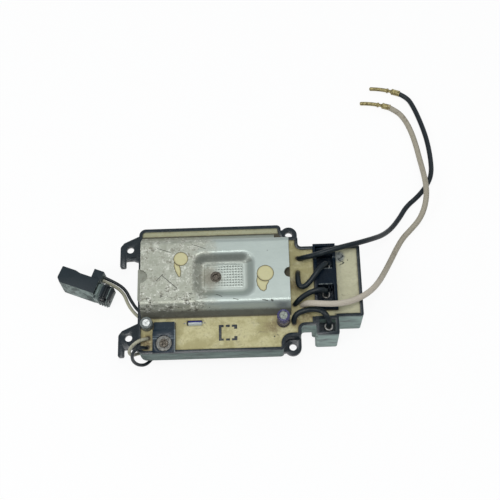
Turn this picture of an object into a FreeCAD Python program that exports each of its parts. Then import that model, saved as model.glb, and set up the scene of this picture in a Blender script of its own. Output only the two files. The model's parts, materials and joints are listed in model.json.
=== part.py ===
"""Potted electronic control module of a garage door opener, with its leads and plug.

Millimetres, +Z up.  The module lies on its underside with its open, resin-filled face up.
The origin is the middle of the module's footprint, on the surface that it stands on.
+X runs from the two hooked ears to the connector end, +Y from the capacitors to the plate.
"""
import FreeCAD, Part
import os
from math import acos, cos, degrees, pi, radians, sin, sqrt, tan

V = FreeCAD.Vector
Z_AXIS = V(0, 0, 1)
os.makedirs("parts", exist_ok=True)

# ---------------------------------------------------------------- driving dimensions
# tray
MAIN_LENGTH = 94.3
MAIN_WIDTH = 85.7
EXTENSION_LENGTH = 51.3
EXTENSION_BACK_STEP = 15.8       # how far the extension's back wall lies inside the main one
EXTENSION_FRONT_STEP = 15.7      # the same at the front, left of the socket box
POCKET_FRONT_STEP = 20.9         # and right of the socket box
WAIST_REACH = 10.85              # the wider neck between the main body and the extension
TRAY_HEIGHT = 28.5
MAIN_DEPTH = 16.6                # the shallow part of the tray
WALL = 2.0
FLOOR = 2.0
CORNER_R = 4.4
SMALL_CORNER_R = 1.5
MAIN_CORNER_R = 2.9              # the main body's corners beside the round lugs
WAIST_R = 2.4
WELL_INSET_LEFT = 21.9           # deep well under the main body
WELL_INSET_RIGHT = 8.4
WELL_INSET_Y = 12.0
POCKET_OVERLAP = 2.0             # the deep pocket starts this far left of the socket box

# ears
EAR_THICKNESS = 3.0
EAR_DROP = 10.0                  # top of the ears, below the rim
EAR_HOLE_R = 2.4
LUG_R = 5.6
NOTCH_R = 5.3
FRONT_NOTCH_REACH = 4.7          # the front notch is a little shallower than it is wide
BACK_LUG_OUTSTAND = 2.2          # the round lugs stand this far past the long walls
FRONT_LUG_OUTSTAND = 1.2
HOOK_REACH = 13.9
HOOK_HOLE_OFFSET = 7.2
HOOK_HOLE_BACK_INSET = 10.5
HOOK_HOLE_PITCH = 61.5
HOOK_LEG_WIDTH = 4.0
HOOK_LEG_LENGTH = 12.6

# potting resin and board
RESIN_DROP = 1.2
BOARD_THICKNESS = 1.6
BOARD_DROP = 8.1                 # underside of the board, below the rim
BOARD_CLEARANCE = 1.0
PILLAR_R = 2.5

# heat-sink plate
SHEET = 1.6
PLATE_RISE = 8.6                 # top of the plate, above the rim
PLATE_BACK_INSET = 13.2          # back edge of the flat top, from the tray's back
PLATE_FRONT_INSET = 30.7         # front edge of the flat top, from the tray's front
PLATE_MIDDLE_INSET = 36.35       # middle of the dish and the notches, from the tray's back
FLANGE_RUN = 7.2
FLANGE_SINK = 0.8                # the flanges' feet stand this deep in the resin
PLATE_BEND_R = 4.0
PLATE_OVERHANG = 4.7             # past the main body's right wall
PLATE_LEFT_GAP = 0.15
FLANGE_CUT_LENGTH = 9.3          # the back flange stops short of the right lug
DISH_LENGTH = 42.1
DISH_WIDTH = 32.3
DISH_DEPTH = 4.6
DISH_FLOOR_LENGTH = 26.6
DISH_FLOOR_WIDTH = 17.7
RIGHT_NOTCH_R = 3.5
LEFT_NOTCH_R = 4.5

# fasteners
PLATE_SCREW_R = 2.0
PLATE_SCREW_HEAD_R = 3.6
PLATE_SCREW_HEAD_HEIGHT = 2.6
SMALL_SCREW_R = 1.5
SMALL_SCREW_HEAD_R = 2.9

# components
LEFT_CAN_R = 3.95
LEFT_CAN_RISE = 5.2              # top of the can, above the rim
RIGHT_CAN_R = 4.1
RIGHT_CAN_RISE = 12.4
SLEEVE = 0.25
DIODE_R = 1.85
DIODE_LENGTH = 10.4
POWER_WIDTH = 14.5
POWER_LENGTH = 18.6
POWER_RISE = 1.4

# connector bar and socket box
BAR_WIDTH = 14.6
BAR_TO_BOX = 4.1                 # strip of resin between the bar and the socket box
BAR_RISE = 2.0
BAR_WALL = 2.1
BOX_RISE = 1.0
BOX_FRONT = 6.8                  # the box stands this far out of the extension's front
BOX_DEPTH_Y = 12.5
SOCKET_R = 2.7
SOCKET_BORE_R = 1.95
CELL_FLOOR_DROP = 5.5

# leads
LEAD_D = 3.5
WHITE_LEAD_D = 3.9
SIGNAL_D = 2.2
PIN_R = 1.35
BARREL_R = 2.3

# plug on the signal lead
PLUG_ANGLE = -21.0
PLUG_LENGTH = 27.5
PLUG_WIDTH = 12.7
PLUG_HEIGHT = 14.0
PLUG_WALL = 1.4
PLUG_FRONT_WALL = 3.0
PLUG_SLOPE = 2.3             # how far the cover's front wall leans back
END_BLOCK_LENGTH = 10.4
END_BLOCK_HEIGHT = 10.5
EXIT_BOSS_LENGTH = 6.9
EXIT_BOSS_REACH = 6.5
LATCH_THICKNESS = 1.6
LATCH_PIN_R = 0.8
RUNNING_CLEARANCE = 0.05

# relay in the pocket
RELAY_LENGTH = 24.0
RELAY_WIDTH = 11.6
RELAY_HEIGHT = 15.0
RELAY_WALL = 0.9

# ---------------------------------------------------------------- planes and walls
RIM = TRAY_HEIGHT
MAIN_UNDERSIDE = RIM - MAIN_DEPTH
RESIN_TOP = RIM - RESIN_DROP
BOARD_BOTTOM = RIM - BOARD_DROP
BOARD_TOP = BOARD_BOTTOM + BOARD_THICKNESS
PLATE_TOP = RIM + PLATE_RISE
SHEET_UNDER = PLATE_TOP - SHEET
EAR_TOP = RIM - EAR_DROP
EAR_BOTTOM = EAR_TOP - EAR_THICKNESS

X_LEFT_EARS = -(HOOK_REACH + MAIN_LENGTH + EXTENSION_LENGTH) / 2
X_LEFT = X_LEFT_EARS + HOOK_REACH
X_MAIN = X_LEFT + MAIN_LENGTH
X_RIGHT = X_MAIN + EXTENSION_LENGTH
X_WAIST = X_MAIN + WAIST_REACH
Y_FRONT = -MAIN_WIDTH / 2
Y_BACK = MAIN_WIDTH / 2
Y_EXT_BACK = Y_BACK - EXTENSION_BACK_STEP
Y_EXT_FRONT = Y_FRONT + EXTENSION_FRONT_STEP
Y_POCKET_FRONT = Y_FRONT + POCKET_FRONT_STEP

X_LUG = X_MAIN + NOTCH_R
Y_BACK_LUG = Y_BACK + BACK_LUG_OUTSTAND - LUG_R
Y_FRONT_LUG = Y_FRONT - FRONT_LUG_OUTSTAND + LUG_R
X_HOOK_HOLE = X_LEFT - HOOK_HOLE_OFFSET
Y_BACK_HOOK = Y_BACK - HOOK_HOLE_BACK_INSET
Y_FRONT_HOOK = Y_BACK_HOOK - HOOK_HOLE_PITCH

X_BAR = X_RIGHT - 23.5           # middle of the connector bar
X_BAR_LEFT = X_BAR - BAR_WIDTH / 2
X_BAR_RIGHT = X_BAR + BAR_WIDTH / 2
Y_BOX_FRONT = Y_EXT_FRONT - BOX_FRONT
Y_BOX_BACK = Y_BOX_FRONT + BOX_DEPTH_Y
BAR_TOP = RIM + BAR_RISE
Y_BAR_BACK = Y_EXT_BACK - WALL
Y_BAR_FRONT = Y_BOX_BACK + BAR_TO_BOX
CELL_FLOOR = RIM - CELL_FLOOR_DROP


# ---------------------------------------------------------------- helpers
def save(name, shape):
    shape.exportStep("parts/" + name + ".step")


def box(x0, x1, y0, y1, z0, z1):
    return Part.makeBox(x1 - x0, y1 - y0, z1 - z0, V(x0, y0, z0))


def post(x, y, z0, z1, radius):
    return Part.makeCylinder(radius, z1 - z0, V(x, y, z0), Z_AXIS)


def rod(start, end, radius):
    return Part.makeCylinder(radius, (end - start).Length, start, end - start)


def joined(shapes):
    return shapes[0].multiFuse(shapes[1:]).removeSplitter()


def outline(corners, place):
    """Closed wire through (a, b, radius) corners; a corner with a radius gets a tangent arc."""
    count = len(corners)
    points = [place(a, b) for a, b, _ in corners]
    edges = []
    ends = []
    for i, (_, _, radius) in enumerate(corners):
        here, before, after = points[i], points[i - 1], points[(i + 1) % count]
        to_before = (before - here).normalize()
        to_after = (after - here).normalize()
        if radius <= 0:
            ends.append((here, here))
            continue
        half = acos(max(-1.0, min(1.0, to_before.dot(to_after)))) / 2
        reach = radius / tan(half)
        middle = (to_before + to_after).normalize()
        touch_in = here + to_before * reach
        touch_out = here + to_after * reach
        crown = here + middle * (radius / sin(half) - radius)
        edges.append(Part.Arc(touch_in, crown, touch_out).toShape())
        ends.append((touch_in, touch_out))
    for i in range(count):
        start, end = ends[i][1], ends[(i + 1) % count][0]
        if (end - start).Length > 1e-6:
            edges.append(Part.LineSegment(start, end).toShape())
    return Part.Wire(Part.__sortEdges__(edges))


def slab(corners, z0, z1):
    wire = outline(corners, lambda x, y: V(x, y, z0))
    return Part.Face(wire).extrude(V(0, 0, z1 - z0))


def bar_along_x(corners, x0, x1):
    wire = outline(corners, lambda y, z: V(x0, y, z))
    return Part.Face(wire).extrude(V(x1 - x0, 0, 0))


def inset(corners, distance):
    """Moves an anticlockwise outline inwards, keeping its walls the same thickness."""
    moved = []
    count = len(corners)
    for i, (a, b, radius) in enumerate(corners):
        a0, b0, _ = corners[i - 1]
        a1, b1, _ = corners[(i + 1) % count]
        first = V(-(b - b0), a - a0, 0).normalize()
        second = V(-(b1 - b), a1 - a, 0).normalize()
        shift = (first + second) * (distance / (1 + first.dot(second)))
        outward_corner = (a - a0) * (b1 - b) - (b - b0) * (a1 - a) > 0
        new_radius = max(radius - distance, 0.3) if outward_corner else radius + distance
        moved.append((a + shift.x, b + shift.y, new_radius))
    return moved


def rectangle(x0, x1, y0, y1, radius):
    return [(x0, y0, radius), (x1, y0, radius), (x1, y1, radius), (x0, y1, radius)]


def cord(name, points, diameter):
    """Round tube along straight runs joined by tangent arcs; prints the arcs' radii."""
    path = [V(*p) for p in points]
    edges = []
    radii = []
    length = 0.0
    start = path[0]
    for before, here, after in zip(path, path[1:], path[2:]):
        to_before = before - here
        to_after = after - here
        shorter = min(to_before.Length, to_after.Length)
        to_before.normalize()
        to_after.normalize()
        half_turn = (pi - acos(max(-1.0, min(1.0, to_before.dot(to_after))))) / 2
        reach = 0.45 * shorter
        radius = reach / tan(half_turn)
        touch_in = here + to_before * reach
        touch_out = here + to_after * reach
        crown = here + (to_before + to_after).normalize() * (radius / cos(half_turn) - radius)
        edges.append(Part.LineSegment(start, touch_in).toShape())
        edges.append(Part.Arc(touch_in, crown, touch_out).toShape())
        length += (touch_in - start).Length + 2 * half_turn * radius
        radii.append(radius)
        start = touch_out
    edges.append(Part.LineSegment(start, path[-1]).toShape())
    length += (path[-1] - start).Length
    section = Part.Wire(Part.makeCircle(diameter / 2, path[0], path[1] - path[0]))
    tube = Part.Wire(edges).makePipeShell([section], True, True)
    ideal = pi * diameter ** 2 / 4 * length
    print(name, "length %.1f" % length, "volume ratio %.4f" % (tube.Volume / ideal),
          "radii in diameters", [round(r / diameter, 1) for r in radii])
    save(name, tube)


# ---------------------------------------------------------------- tray
def tray_outline():
    """The tray's outer wall without the socket box, anticlockwise from the front left."""
    waist_front = Y_FRONT_LUG + FRONT_NOTCH_REACH
    waist_back = Y_BACK_LUG - NOTCH_R
    return [
        (X_LEFT, Y_FRONT, CORNER_R), (X_MAIN, Y_FRONT, MAIN_CORNER_R),
        (X_MAIN, waist_front, FRONT_NOTCH_REACH - 0.2), (X_WAIST, waist_front, SMALL_CORNER_R),
        (X_WAIST, Y_EXT_FRONT, WAIST_R), (X_BAR_RIGHT, Y_EXT_FRONT, 0),
        (X_BAR_RIGHT, Y_POCKET_FRONT, 0), (X_RIGHT, Y_POCKET_FRONT, SMALL_CORNER_R),
        (X_RIGHT, Y_EXT_BACK, SMALL_CORNER_R), (X_WAIST, Y_EXT_BACK, WAIST_R),
        (X_WAIST, waist_back, SMALL_CORNER_R), (X_MAIN, waist_back, NOTCH_R - 0.2),
        (X_MAIN, Y_BACK, MAIN_CORNER_R), (X_LEFT, Y_BACK, CORNER_R),
    ]


def pocket_outline():
    left = X_BAR_LEFT - POCKET_OVERLAP
    return [
        (left, Y_EXT_FRONT, SMALL_CORNER_R), (X_BAR_RIGHT, Y_EXT_FRONT, 0),
        (X_BAR_RIGHT, Y_POCKET_FRONT, 0), (X_RIGHT, Y_POCKET_FRONT, SMALL_CORNER_R),
        (X_RIGHT, Y_EXT_BACK, SMALL_CORNER_R), (left, Y_EXT_BACK, SMALL_CORNER_R),
    ]


def well_outline():
    return rectangle(X_LEFT + WELL_INSET_LEFT, X_MAIN - WELL_INSET_RIGHT,
                     Y_FRONT + WELL_INSET_Y, Y_BACK - WELL_INSET_Y, CORNER_R)


def socket_box_outline():
    return [
        (X_BAR_LEFT, Y_BOX_FRONT, SMALL_CORNER_R), (X_BAR_RIGHT, Y_BOX_FRONT, SMALL_CORNER_R),
        (X_BAR_RIGHT, Y_BOX_BACK, 0), (X_BAR_LEFT, Y_BOX_BACK, 0),
    ]


def hooked_ear(x, y):
    """Flat ear with a sloping back edge, a screw hole and a leg that points to the front."""
    tip = x - (HOOK_REACH - HOOK_HOLE_OFFSET)
    inner = tip + HOOK_LEG_WIDTH
    root = x + HOOK_HOLE_OFFSET + 3.0
    ear = slab([
        (tip, y - HOOK_LEG_LENGTH, 1.2), (inner, y - HOOK_LEG_LENGTH, 1.2),
        (inner, y - 7.6, 0.6), (x + 2.2, y - 7.4, 1.0), (root, y - 10.4, 0),
        (root, y + 9.0, 0), (x + HOOK_HOLE_OFFSET, y + 10.3, 0), (x - 4.4, y + 4.9, 2.0),
        (tip, y + 1.9, 2.0),
    ], EAR_BOTTOM, EAR_TOP)
    ridge = box(x + 0.6, x + 3.6, y - 5.6, y - 4.6, EAR_TOP, EAR_TOP + 0.8)
    return joined([ear, ridge])


def round_lug(x, y, toward):
    """Round screw lug that fills its notch in the wall; toward is +1 for the front one.

    Its right side runs straight to the waist, and a web joins it to the main body's side.
    """
    disc = post(x, y, EAR_BOTTOM, EAR_TOP, LUG_R)
    y0, y1 = sorted((y - 0.01 * toward, y + (NOTCH_R + 0.5) * toward))
    right = box(x, x + LUG_R, y0, y1, EAR_BOTTOM, EAR_TOP)
    y0, y1 = sorted((y - 3.7 * toward, y + (NOTCH_R + 0.5) * toward))
    left = box(x - NOTCH_R - 1, x, y0, y1, EAR_BOTTOM, EAR_TOP)
    return joined([disc, right, left])


def pillar_places():
    left, right = X_LEFT + 11.9, X_MAIN - 15.4
    return [(x, y) for x in (left, right) for y in (Y_FRONT + 7.0, Y_BACK - 5.5)]


def housing_tray():
    body = joined([
        slab(tray_outline(), MAIN_UNDERSIDE, RIM), slab(pocket_outline(), 0, RIM),
        slab(well_outline(), 0, MAIN_UNDERSIDE + FLOOR),
        slab(socket_box_outline(), 0, RIM + BOX_RISE),
        hooked_ear(X_HOOK_HOLE, Y_BACK_HOOK), hooked_ear(X_HOOK_HOLE, Y_FRONT_HOOK),
        round_lug(X_LUG, Y_BACK_LUG, -1), round_lug(X_LUG, Y_FRONT_LUG, 1),
    ])
    body = body.cut(cavity()).cut(socket_cavity(FLOOR, RIM + BOX_RISE + 1))
    floor = MAIN_UNDERSIDE + FLOOR
    body = joined([body] + [post(x, y, floor - 0.5, BOARD_BOTTOM, PILLAR_R)
                            for x, y in pillar_places()])
    holes = [post(X_LUG, y, EAR_BOTTOM - 1, EAR_TOP + 1, EAR_HOLE_R)
             for y in (Y_BACK_LUG, Y_FRONT_LUG)]
    holes += [post(X_HOOK_HOLE, y, EAR_BOTTOM - 1, EAR_TOP + 1, EAR_HOLE_R)
              for y in (Y_BACK_HOOK, Y_FRONT_HOOK)]
    for hole in holes:
        body = body.cut(hole)
    return body


def cavity(top=RIM + 1):
    """Everything inside the tray's walls, apart from the socket box."""
    main = slab(inset(tray_outline(), WALL), MAIN_UNDERSIDE + FLOOR, top)
    pocket = slab(inset(pocket_outline(), WALL), FLOOR, top)
    well = slab(inset(well_outline(), WALL), FLOOR, MAIN_UNDERSIDE + FLOOR + 1)
    behind_box = box(X_BAR_LEFT - WALL, X_BAR_RIGHT + WALL, Y_BOX_FRONT, Y_BOX_BACK, 0, RIM + 2)
    return joined([main, pocket, well]).cut(behind_box)


def socket_cavity(z0, z1):
    return box(X_BAR_LEFT + BAR_WALL, X_BAR_RIGHT - BAR_WALL,
               Y_BOX_FRONT + WALL, Y_BOX_BACK - WALL, z0, z1)


# ---------------------------------------------------------------- heat-sink plate
X_PLATE_LEFT = X_LEFT + WALL + PLATE_LEFT_GAP
X_PLATE_RIGHT = X_MAIN + PLATE_OVERHANG
PLATE_TOP_BACK = Y_BACK - PLATE_BACK_INSET
PLATE_TOP_FRONT = Y_FRONT + PLATE_FRONT_INSET
PLATE_MID_Y = Y_BACK - PLATE_MIDDLE_INSET
X_DISH = (X_LEFT + X_MAIN) / 2 + 9.05
Y_DISH = PLATE_MID_Y
DISH_FLOOR = PLATE_TOP - DISH_DEPTH
X_PLATE_SCREW = X_DISH - 5.1
Y_PLATE_SCREW = Y_DISH - 0.5


def plate_section(thickness):
    """Section of the folded sheet as (y, z) corners: 0 for its outside, the sheet for its inside."""
    foot = RESIN_TOP - FLANGE_SINK
    slope = FLANGE_RUN * (PLATE_TOP - foot) / (PLATE_TOP - RESIN_TOP)
    outside = [
        (PLATE_TOP_FRONT - slope, foot, 0), (PLATE_TOP_BACK + slope, foot, 0),
        (PLATE_TOP_BACK, PLATE_TOP, PLATE_BEND_R), (PLATE_TOP_FRONT, PLATE_TOP, PLATE_BEND_R),
    ]
    if thickness == 0:
        return outside
    inner = inset(outside, thickness)
    step = slope / (PLATE_TOP - foot)
    drop = inner[0][1] - foot + 0.01
    inner[0] = (inner[0][0] - drop * step, foot - 0.01, 0)
    inner[1] = (inner[1][0] + drop * step, foot - 0.01, 0)
    return [inner[0], inner[1]] + [(y, z, PLATE_BEND_R - thickness) for y, z, _ in inner[2:]]


def dish_block(drop):
    """Tapered block of the pressed dish; drop moves it down by the sheet's thickness."""
    def ring(length, width, radius, z):
        corners = rectangle(X_DISH - length / 2, X_DISH + length / 2,
                            Y_DISH - width / 2, Y_DISH + width / 2, radius)
        return outline(corners, lambda x, y: V(x, y, z))
    top = ring(DISH_LENGTH, DISH_WIDTH, 8.0, PLATE_TOP - drop)
    bottom = ring(DISH_FLOOR_LENGTH, DISH_FLOOR_WIDTH, 2.5, DISH_FLOOR - drop)
    return Part.makeLoft([top, bottom], True, True)


def comma_hole(x, y, radius, tail, z0, z1):
    round_part = post(x, y, z0, z1, radius)
    lobe = slab([(x + dx, y + dy, r) for dx, dy, r in tail], z0, z1)
    return joined([round_part, lobe])


def comma_holes(z0, z1):
    left_tail = [(-4.4, -1.8, 0), (-3.2, -7.0, 1.0), (0.3, -12.4, 0.4), (1.5, -8.0, 1.0),
                 (1.0, -4.2, 0)]
    right_tail = [(-5.3, -1.2, 0), (-4.4, -7.4, 1.5), (-0.4, -12.0, 1.0), (2.2, -11.2, 0.6),
                  (1.4, -8.0, 1.0), (3.4, -4.0, 0)]
    left = comma_hole(X_DISH - 27.6, Y_DISH + 11.2, 4.8, left_tail, z0, z1)
    right = comma_hole(X_DISH + 27.0, Y_DISH - 0.4, 5.5, right_tail, z0, z1)
    return [left, right]


def heat_sink_plate():
    outside = bar_along_x(plate_section(0), X_PLATE_LEFT, X_PLATE_RIGHT)
    inside = bar_along_x(plate_section(SHEET), X_PLATE_LEFT - 1, X_PLATE_RIGHT + 1)
    plate = joined([outside.cut(inside), dish_block(SHEET)])
    plate = plate.cut(dish_block(0))
    foot = RESIN_TOP - FLANGE_SINK - 1
    cuts = comma_holes(SHEET_UNDER - 1, PLATE_TOP + 1)
    cuts.append(post(X_PLATE_RIGHT, PLATE_MID_Y, SHEET_UNDER - 1, PLATE_TOP + 1, RIGHT_NOTCH_R))
    cuts.append(post(X_PLATE_LEFT, PLATE_MID_Y, SHEET_UNDER - 1, PLATE_TOP + 1, LEFT_NOTCH_R))
    cuts.append(box(X_PLATE_RIGHT - FLANGE_CUT_LENGTH, X_PLATE_RIGHT + 1,
                    PLATE_TOP_BACK + 1.0, Y_BACK, foot, PLATE_TOP + 1))
    cuts.append(post(X_PLATE_SCREW, Y_PLATE_SCREW, DISH_FLOOR - 3, PLATE_TOP, PLATE_SCREW_R))
    for cut in cuts:
        plate = plate.cut(cut)
    return plate


# grey pad that shows in the left notch and stands out past the plate
def thermal_pad():
    return slab(rectangle(X_LEFT + 0.5, X_PLATE_LEFT + 6.5, PLATE_TOP_FRONT + PLATE_BEND_R * 0.6,
                          PLATE_MID_Y + LEFT_NOTCH_R + 1.0, 1.0), SHEET_UNDER - 1.2, SHEET_UNDER)


# ---------------------------------------------------------------- components
Y_COMPONENTS = Y_FRONT + 19.0
X_LEFT_CAN = X_LEFT + WALL + LEFT_CAN_R + 0.15
Y_LEFT_CAN = Y_FRONT + 19.2
X_RIGHT_CAN = X_MAIN - 0.4
Y_RIGHT_CAN = Y_FRONT + 19.1
X_DIODE = X_LEFT + 36.7
Y_DIODE = Y_FRONT + 19.7
X_POWER = X_LEFT + 17.15
Y_POWER = Y_FRONT + 2.05          # its front face, against the tray's wall
Y_POWER_SCREW = Y_FRONT + 6.4
POWER_TOP = RIM + POWER_RISE
POWER_BOTTOM = BOARD_TOP + 2.2
X_FORMER = X_LEFT + 58.1
Y_FORMER = Y_FRONT + 12.75
THERMAL_SHEET = 0.2
POWER_BODY_THICKNESS = 5.0
OUTPUT_TOP = DISH_FLOOR - SHEET - THERMAL_SHEET
OUTPUT_BOTTOM = OUTPUT_TOP - POWER_BODY_THICKNESS


def capacitor(x, y, radius, top):
    """Aluminium can and, apart from its top disc, the printed sleeve around it."""
    can = post(x, y, BOARD_TOP + 0.3, top, radius - SLEEVE)
    vent = [box(x - radius * 0.5, x + radius * 0.5, y - 0.2, y + 0.2, top - 0.2, top + 1)]
    vent.append(box(x - 0.2, x + 0.2, y - radius * 0.5, y + radius * 0.5, top - 0.2, top + 1))
    lip = 0.3
    sleeve = post(x, y, BOARD_TOP + 0.3, top + lip, radius)
    sleeve = sleeve.cut(post(x, y, BOARD_TOP, top, radius - SLEEVE))
    sleeve = sleeve.cut(post(x, y, top - 0.01, top + 1, radius - 1.3))
    for groove in vent:
        can = can.cut(groove)
    return can, sleeve


def power_block():
    """Moulded power device by the front wall; its top laps over the wall's rim."""
    x0, x1 = X_POWER - POWER_WIDTH / 2, X_POWER + POWER_WIDTH / 2
    y1 = Y_POWER + POWER_LENGTH
    step = 5.2
    low = box(x0, x1, Y_POWER, y1 - step, POWER_BOTTOM, POWER_TOP)
    lap = box(x0, x1, Y_FRONT + 0.2, Y_POWER, RIM, POWER_TOP)
    high = box(x0 + 0.7, x1 - 0.5, y1 - step, y1, POWER_BOTTOM, POWER_TOP - 0.6)
    body = joined([low, lap, high])
    body = body.cut(post(X_POWER, Y_POWER_SCREW, POWER_TOP - 1.0, POWER_TOP + 1, 5.5))
    return body.cut(post(X_POWER, Y_POWER_SCREW, POWER_BOTTOM - 1, POWER_TOP, SMALL_SCREW_R))


def power_washer():
    ring = post(X_POWER, Y_POWER_SCREW, POWER_TOP - 1.0, POWER_TOP - 0.4, 5.15)
    return ring.cut(post(X_POWER, Y_POWER_SCREW, POWER_TOP - 2, POWER_TOP, SMALL_SCREW_R))


def power_screw():
    head = post(X_POWER, Y_POWER_SCREW, POWER_TOP - 0.4, POWER_TOP + 0.9, SMALL_SCREW_HEAD_R)
    shank = post(X_POWER, Y_POWER_SCREW, BOARD_TOP, POWER_TOP - 0.4, SMALL_SCREW_R)
    slot = box(X_POWER - 0.4, X_POWER + 0.4, Y_POWER_SCREW - 2, Y_POWER_SCREW + 2,
               POWER_TOP + 0.2, POWER_TOP + 2)
    cross = box(X_POWER - 2, X_POWER + 2, Y_POWER_SCREW - 0.4, Y_POWER_SCREW + 0.4,
                POWER_TOP + 0.2, POWER_TOP + 2)
    return joined([head, shank]).cut(slot).cut(cross)


def hexagon(x, y, across_flats, z0, z1):
    reach = across_flats / sqrt(3)
    corners = [(x + reach * cos(radians(60 * i)), y + reach * sin(radians(60 * i)), 0)
               for i in range(6)]
    return slab(corners, z0, z1)


def nut(x, y, across_flats, bore_r, z0, z1):
    return hexagon(x, y, across_flats, z0, z1).cut(post(x, y, z0 - 1, z1 + 1, bore_r))


def plate_screw():
    top = DISH_FLOOR + PLATE_SCREW_HEAD_HEIGHT
    head = post(X_PLATE_SCREW, Y_PLATE_SCREW, DISH_FLOOR, top, PLATE_SCREW_HEAD_R)
    shank = post(X_PLATE_SCREW, Y_PLATE_SCREW, BOARD_TOP, DISH_FLOOR, PLATE_SCREW_R)
    socket = hexagon(X_PLATE_SCREW, Y_PLATE_SCREW, 3.0, top - 1.8, top + 1)
    return joined([head, shank]).cut(socket)


def output_transistor():
    body = box(X_PLATE_SCREW - 4.8, X_PLATE_SCREW + 15.2, Y_PLATE_SCREW - 7.8,
               Y_PLATE_SCREW + 7.8, OUTPUT_BOTTOM, OUTPUT_TOP)
    return body.cut(post(X_PLATE_SCREW, Y_PLATE_SCREW, 0, PLATE_TOP, PLATE_SCREW_R))


def thermal_sheet():
    sheet = box(X_PLATE_SCREW - 5.6, X_PLATE_SCREW + 16.0, Y_PLATE_SCREW - 8.6,
                Y_PLATE_SCREW + 8.6, OUTPUT_TOP, OUTPUT_TOP + THERMAL_SHEET)
    return sheet.cut(post(X_PLATE_SCREW, Y_PLATE_SCREW, 0, PLATE_TOP, PLATE_SCREW_R))


def leg_row(xs, y0, y1, z):
    """Flat device legs that run out level and turn down through the board."""
    legs = []
    for x in xs:
        level = box(x - 0.5, x + 0.5, y0, y1, z, z + 0.6)
        down = box(x - 0.5, x + 0.5, y1 - 0.6, y1, BOARD_BOTTOM - 0.8, z + 0.6)
        legs.append(joined([level, down]))
    return legs


def transistor_legs():
    legs = leg_row([X_POWER + k * 5.0 for k in (-1, 0, 1)], Y_POWER + POWER_LENGTH,
                   Y_POWER + POWER_LENGTH + 2.4, POWER_BOTTOM + 1.0)
    x0 = X_PLATE_SCREW + 15.2
    for k in (-1, 0, 1):
        y = Y_PLATE_SCREW + k * 5.0
        z = OUTPUT_BOTTOM + 1.0
        level = box(x0, x0 + 3.0, y - 0.5, y + 0.5, z, z + 0.6)
        down = box(x0 + 2.4, x0 + 3.0, y - 0.5, y + 0.5, BOARD_BOTTOM - 0.8, z + 0.6)
        legs.append(joined([level, down]))
    return legs


def diode_body():
    start = V(X_DIODE - DIODE_LENGTH / 2, Y_DIODE, RESIN_TOP - 0.1)
    return rod(start, start + V(DIODE_LENGTH, 0, 0), DIODE_R)


def diode_leads():
    leads = []
    for side in (-1, 1):
        inner = V(X_DIODE + side * DIODE_LENGTH / 2, Y_DIODE, RESIN_TOP - 0.1)
        outer = inner + V(side * 1.6, 0, 0)
        foot = V(outer.x, outer.y, BOARD_BOTTOM - 0.8)
        leads.append(joined([rod(inner, outer, 0.4), Part.makeSphere(0.4, outer),
                             rod(outer, foot, 0.4)]))
    return leads


def coil_former():
    """Square former whose castellated edge just breaks the resin's surface."""
    half_x, half_y, wall = 5.9, 5.25, 1.4
    x0, x1 = X_FORMER - half_x, X_FORMER + half_x
    y0, y1 = Y_FORMER - half_y, Y_FORMER + half_y
    top = RESIN_TOP + 0.2
    shelf = RESIN_TOP - 1.5
    base = box(x0, x1, y0, y1, BOARD_TOP, shelf)
    pieces = [base, box(x0, x0 + 1.8, y0, y1, shelf, top)]
    for y in (y0, y1 - wall):
        pieces.append(box(x0, x0 + 3.1, y, y + wall, shelf, top))
        pieces.append(box(X_FORMER - 1.3, X_FORMER + 1.2, y, y + wall, shelf, top))
        pieces.append(box(x1 - 3.4, x1, y, y + wall, shelf, top))
    for y in (y0 + 0.2, y1 - 2.8):
        pieces.append(box(x1 - 1.9, x1, y, y + 2.6, shelf, top))
    return joined(pieces)


def circuit_board():
    board = slab(inset(tray_outline(), WALL + BOARD_CLEARANCE), BOARD_BOTTOM, BOARD_TOP)
    box_clear = box(X_BAR_LEFT - WALL - BOARD_CLEARANCE, X_BAR_RIGHT + WALL + BOARD_CLEARANCE,
                    Y_BOX_FRONT, Y_BOX_BACK + BOARD_CLEARANCE, 0, RIM)
    return board.cut(box_clear)


def control_chip():
    x0, y0 = X_LEFT + 40.9, Y_BACK - 11.5
    body = box(x0, x0 + 18.0, y0, y0 + 6.4, BOARD_TOP + 0.5, BOARD_TOP + 3.8)
    legs = []
    for i in range(7):
        x = x0 + 1.4 + 2.54 * i
        for y in (y0 - 0.5, y0 + 6.4):
            legs.append(box(x - 0.25, x + 0.25, y, y + 0.5, BOARD_BOTTOM - 0.8, BOARD_TOP + 2.2))
    return body, legs


X_TRANSFORMER = X_LEFT + WELL_INSET_LEFT + 20.0
Y_TRANSFORMER = -2.0
TRANSFORMER_BOTTOM = FLOOR + 1.0


def transformer_core():
    x0, x1 = X_TRANSFORMER - 14.0, X_TRANSFORMER + 14.0
    y0, y1 = Y_TRANSFORMER - 6.0, Y_TRANSFORMER + 6.0
    core = box(x0, x1, y0, y1, TRANSFORMER_BOTTOM, BOARD_BOTTOM - 1.0)
    for side in (-1, 1):
        middle = X_TRANSFORMER + side * 7.0
        core = core.cut(box(middle - 3.5, middle + 3.5, y0 - 1, y1 + 1,
                            TRANSFORMER_BOTTOM + 3.5, BOARD_BOTTOM - 4.5))
    return core


def transformer_coil():
    z0, z1 = TRANSFORMER_BOTTOM + 3.6, BOARD_BOTTOM - 4.6
    coil = slab(rectangle(X_TRANSFORMER - 10.4, X_TRANSFORMER + 10.4, Y_TRANSFORMER - 12.0,
                          Y_TRANSFORMER + 12.0, 5.0), z0, z1)
    window = box(X_TRANSFORMER - 3.5, X_TRANSFORMER + 3.5, Y_TRANSFORMER - 6.1,
                 Y_TRANSFORMER + 6.1, z0 - 1, z1 + 1)
    return coil.cut(window)


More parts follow.
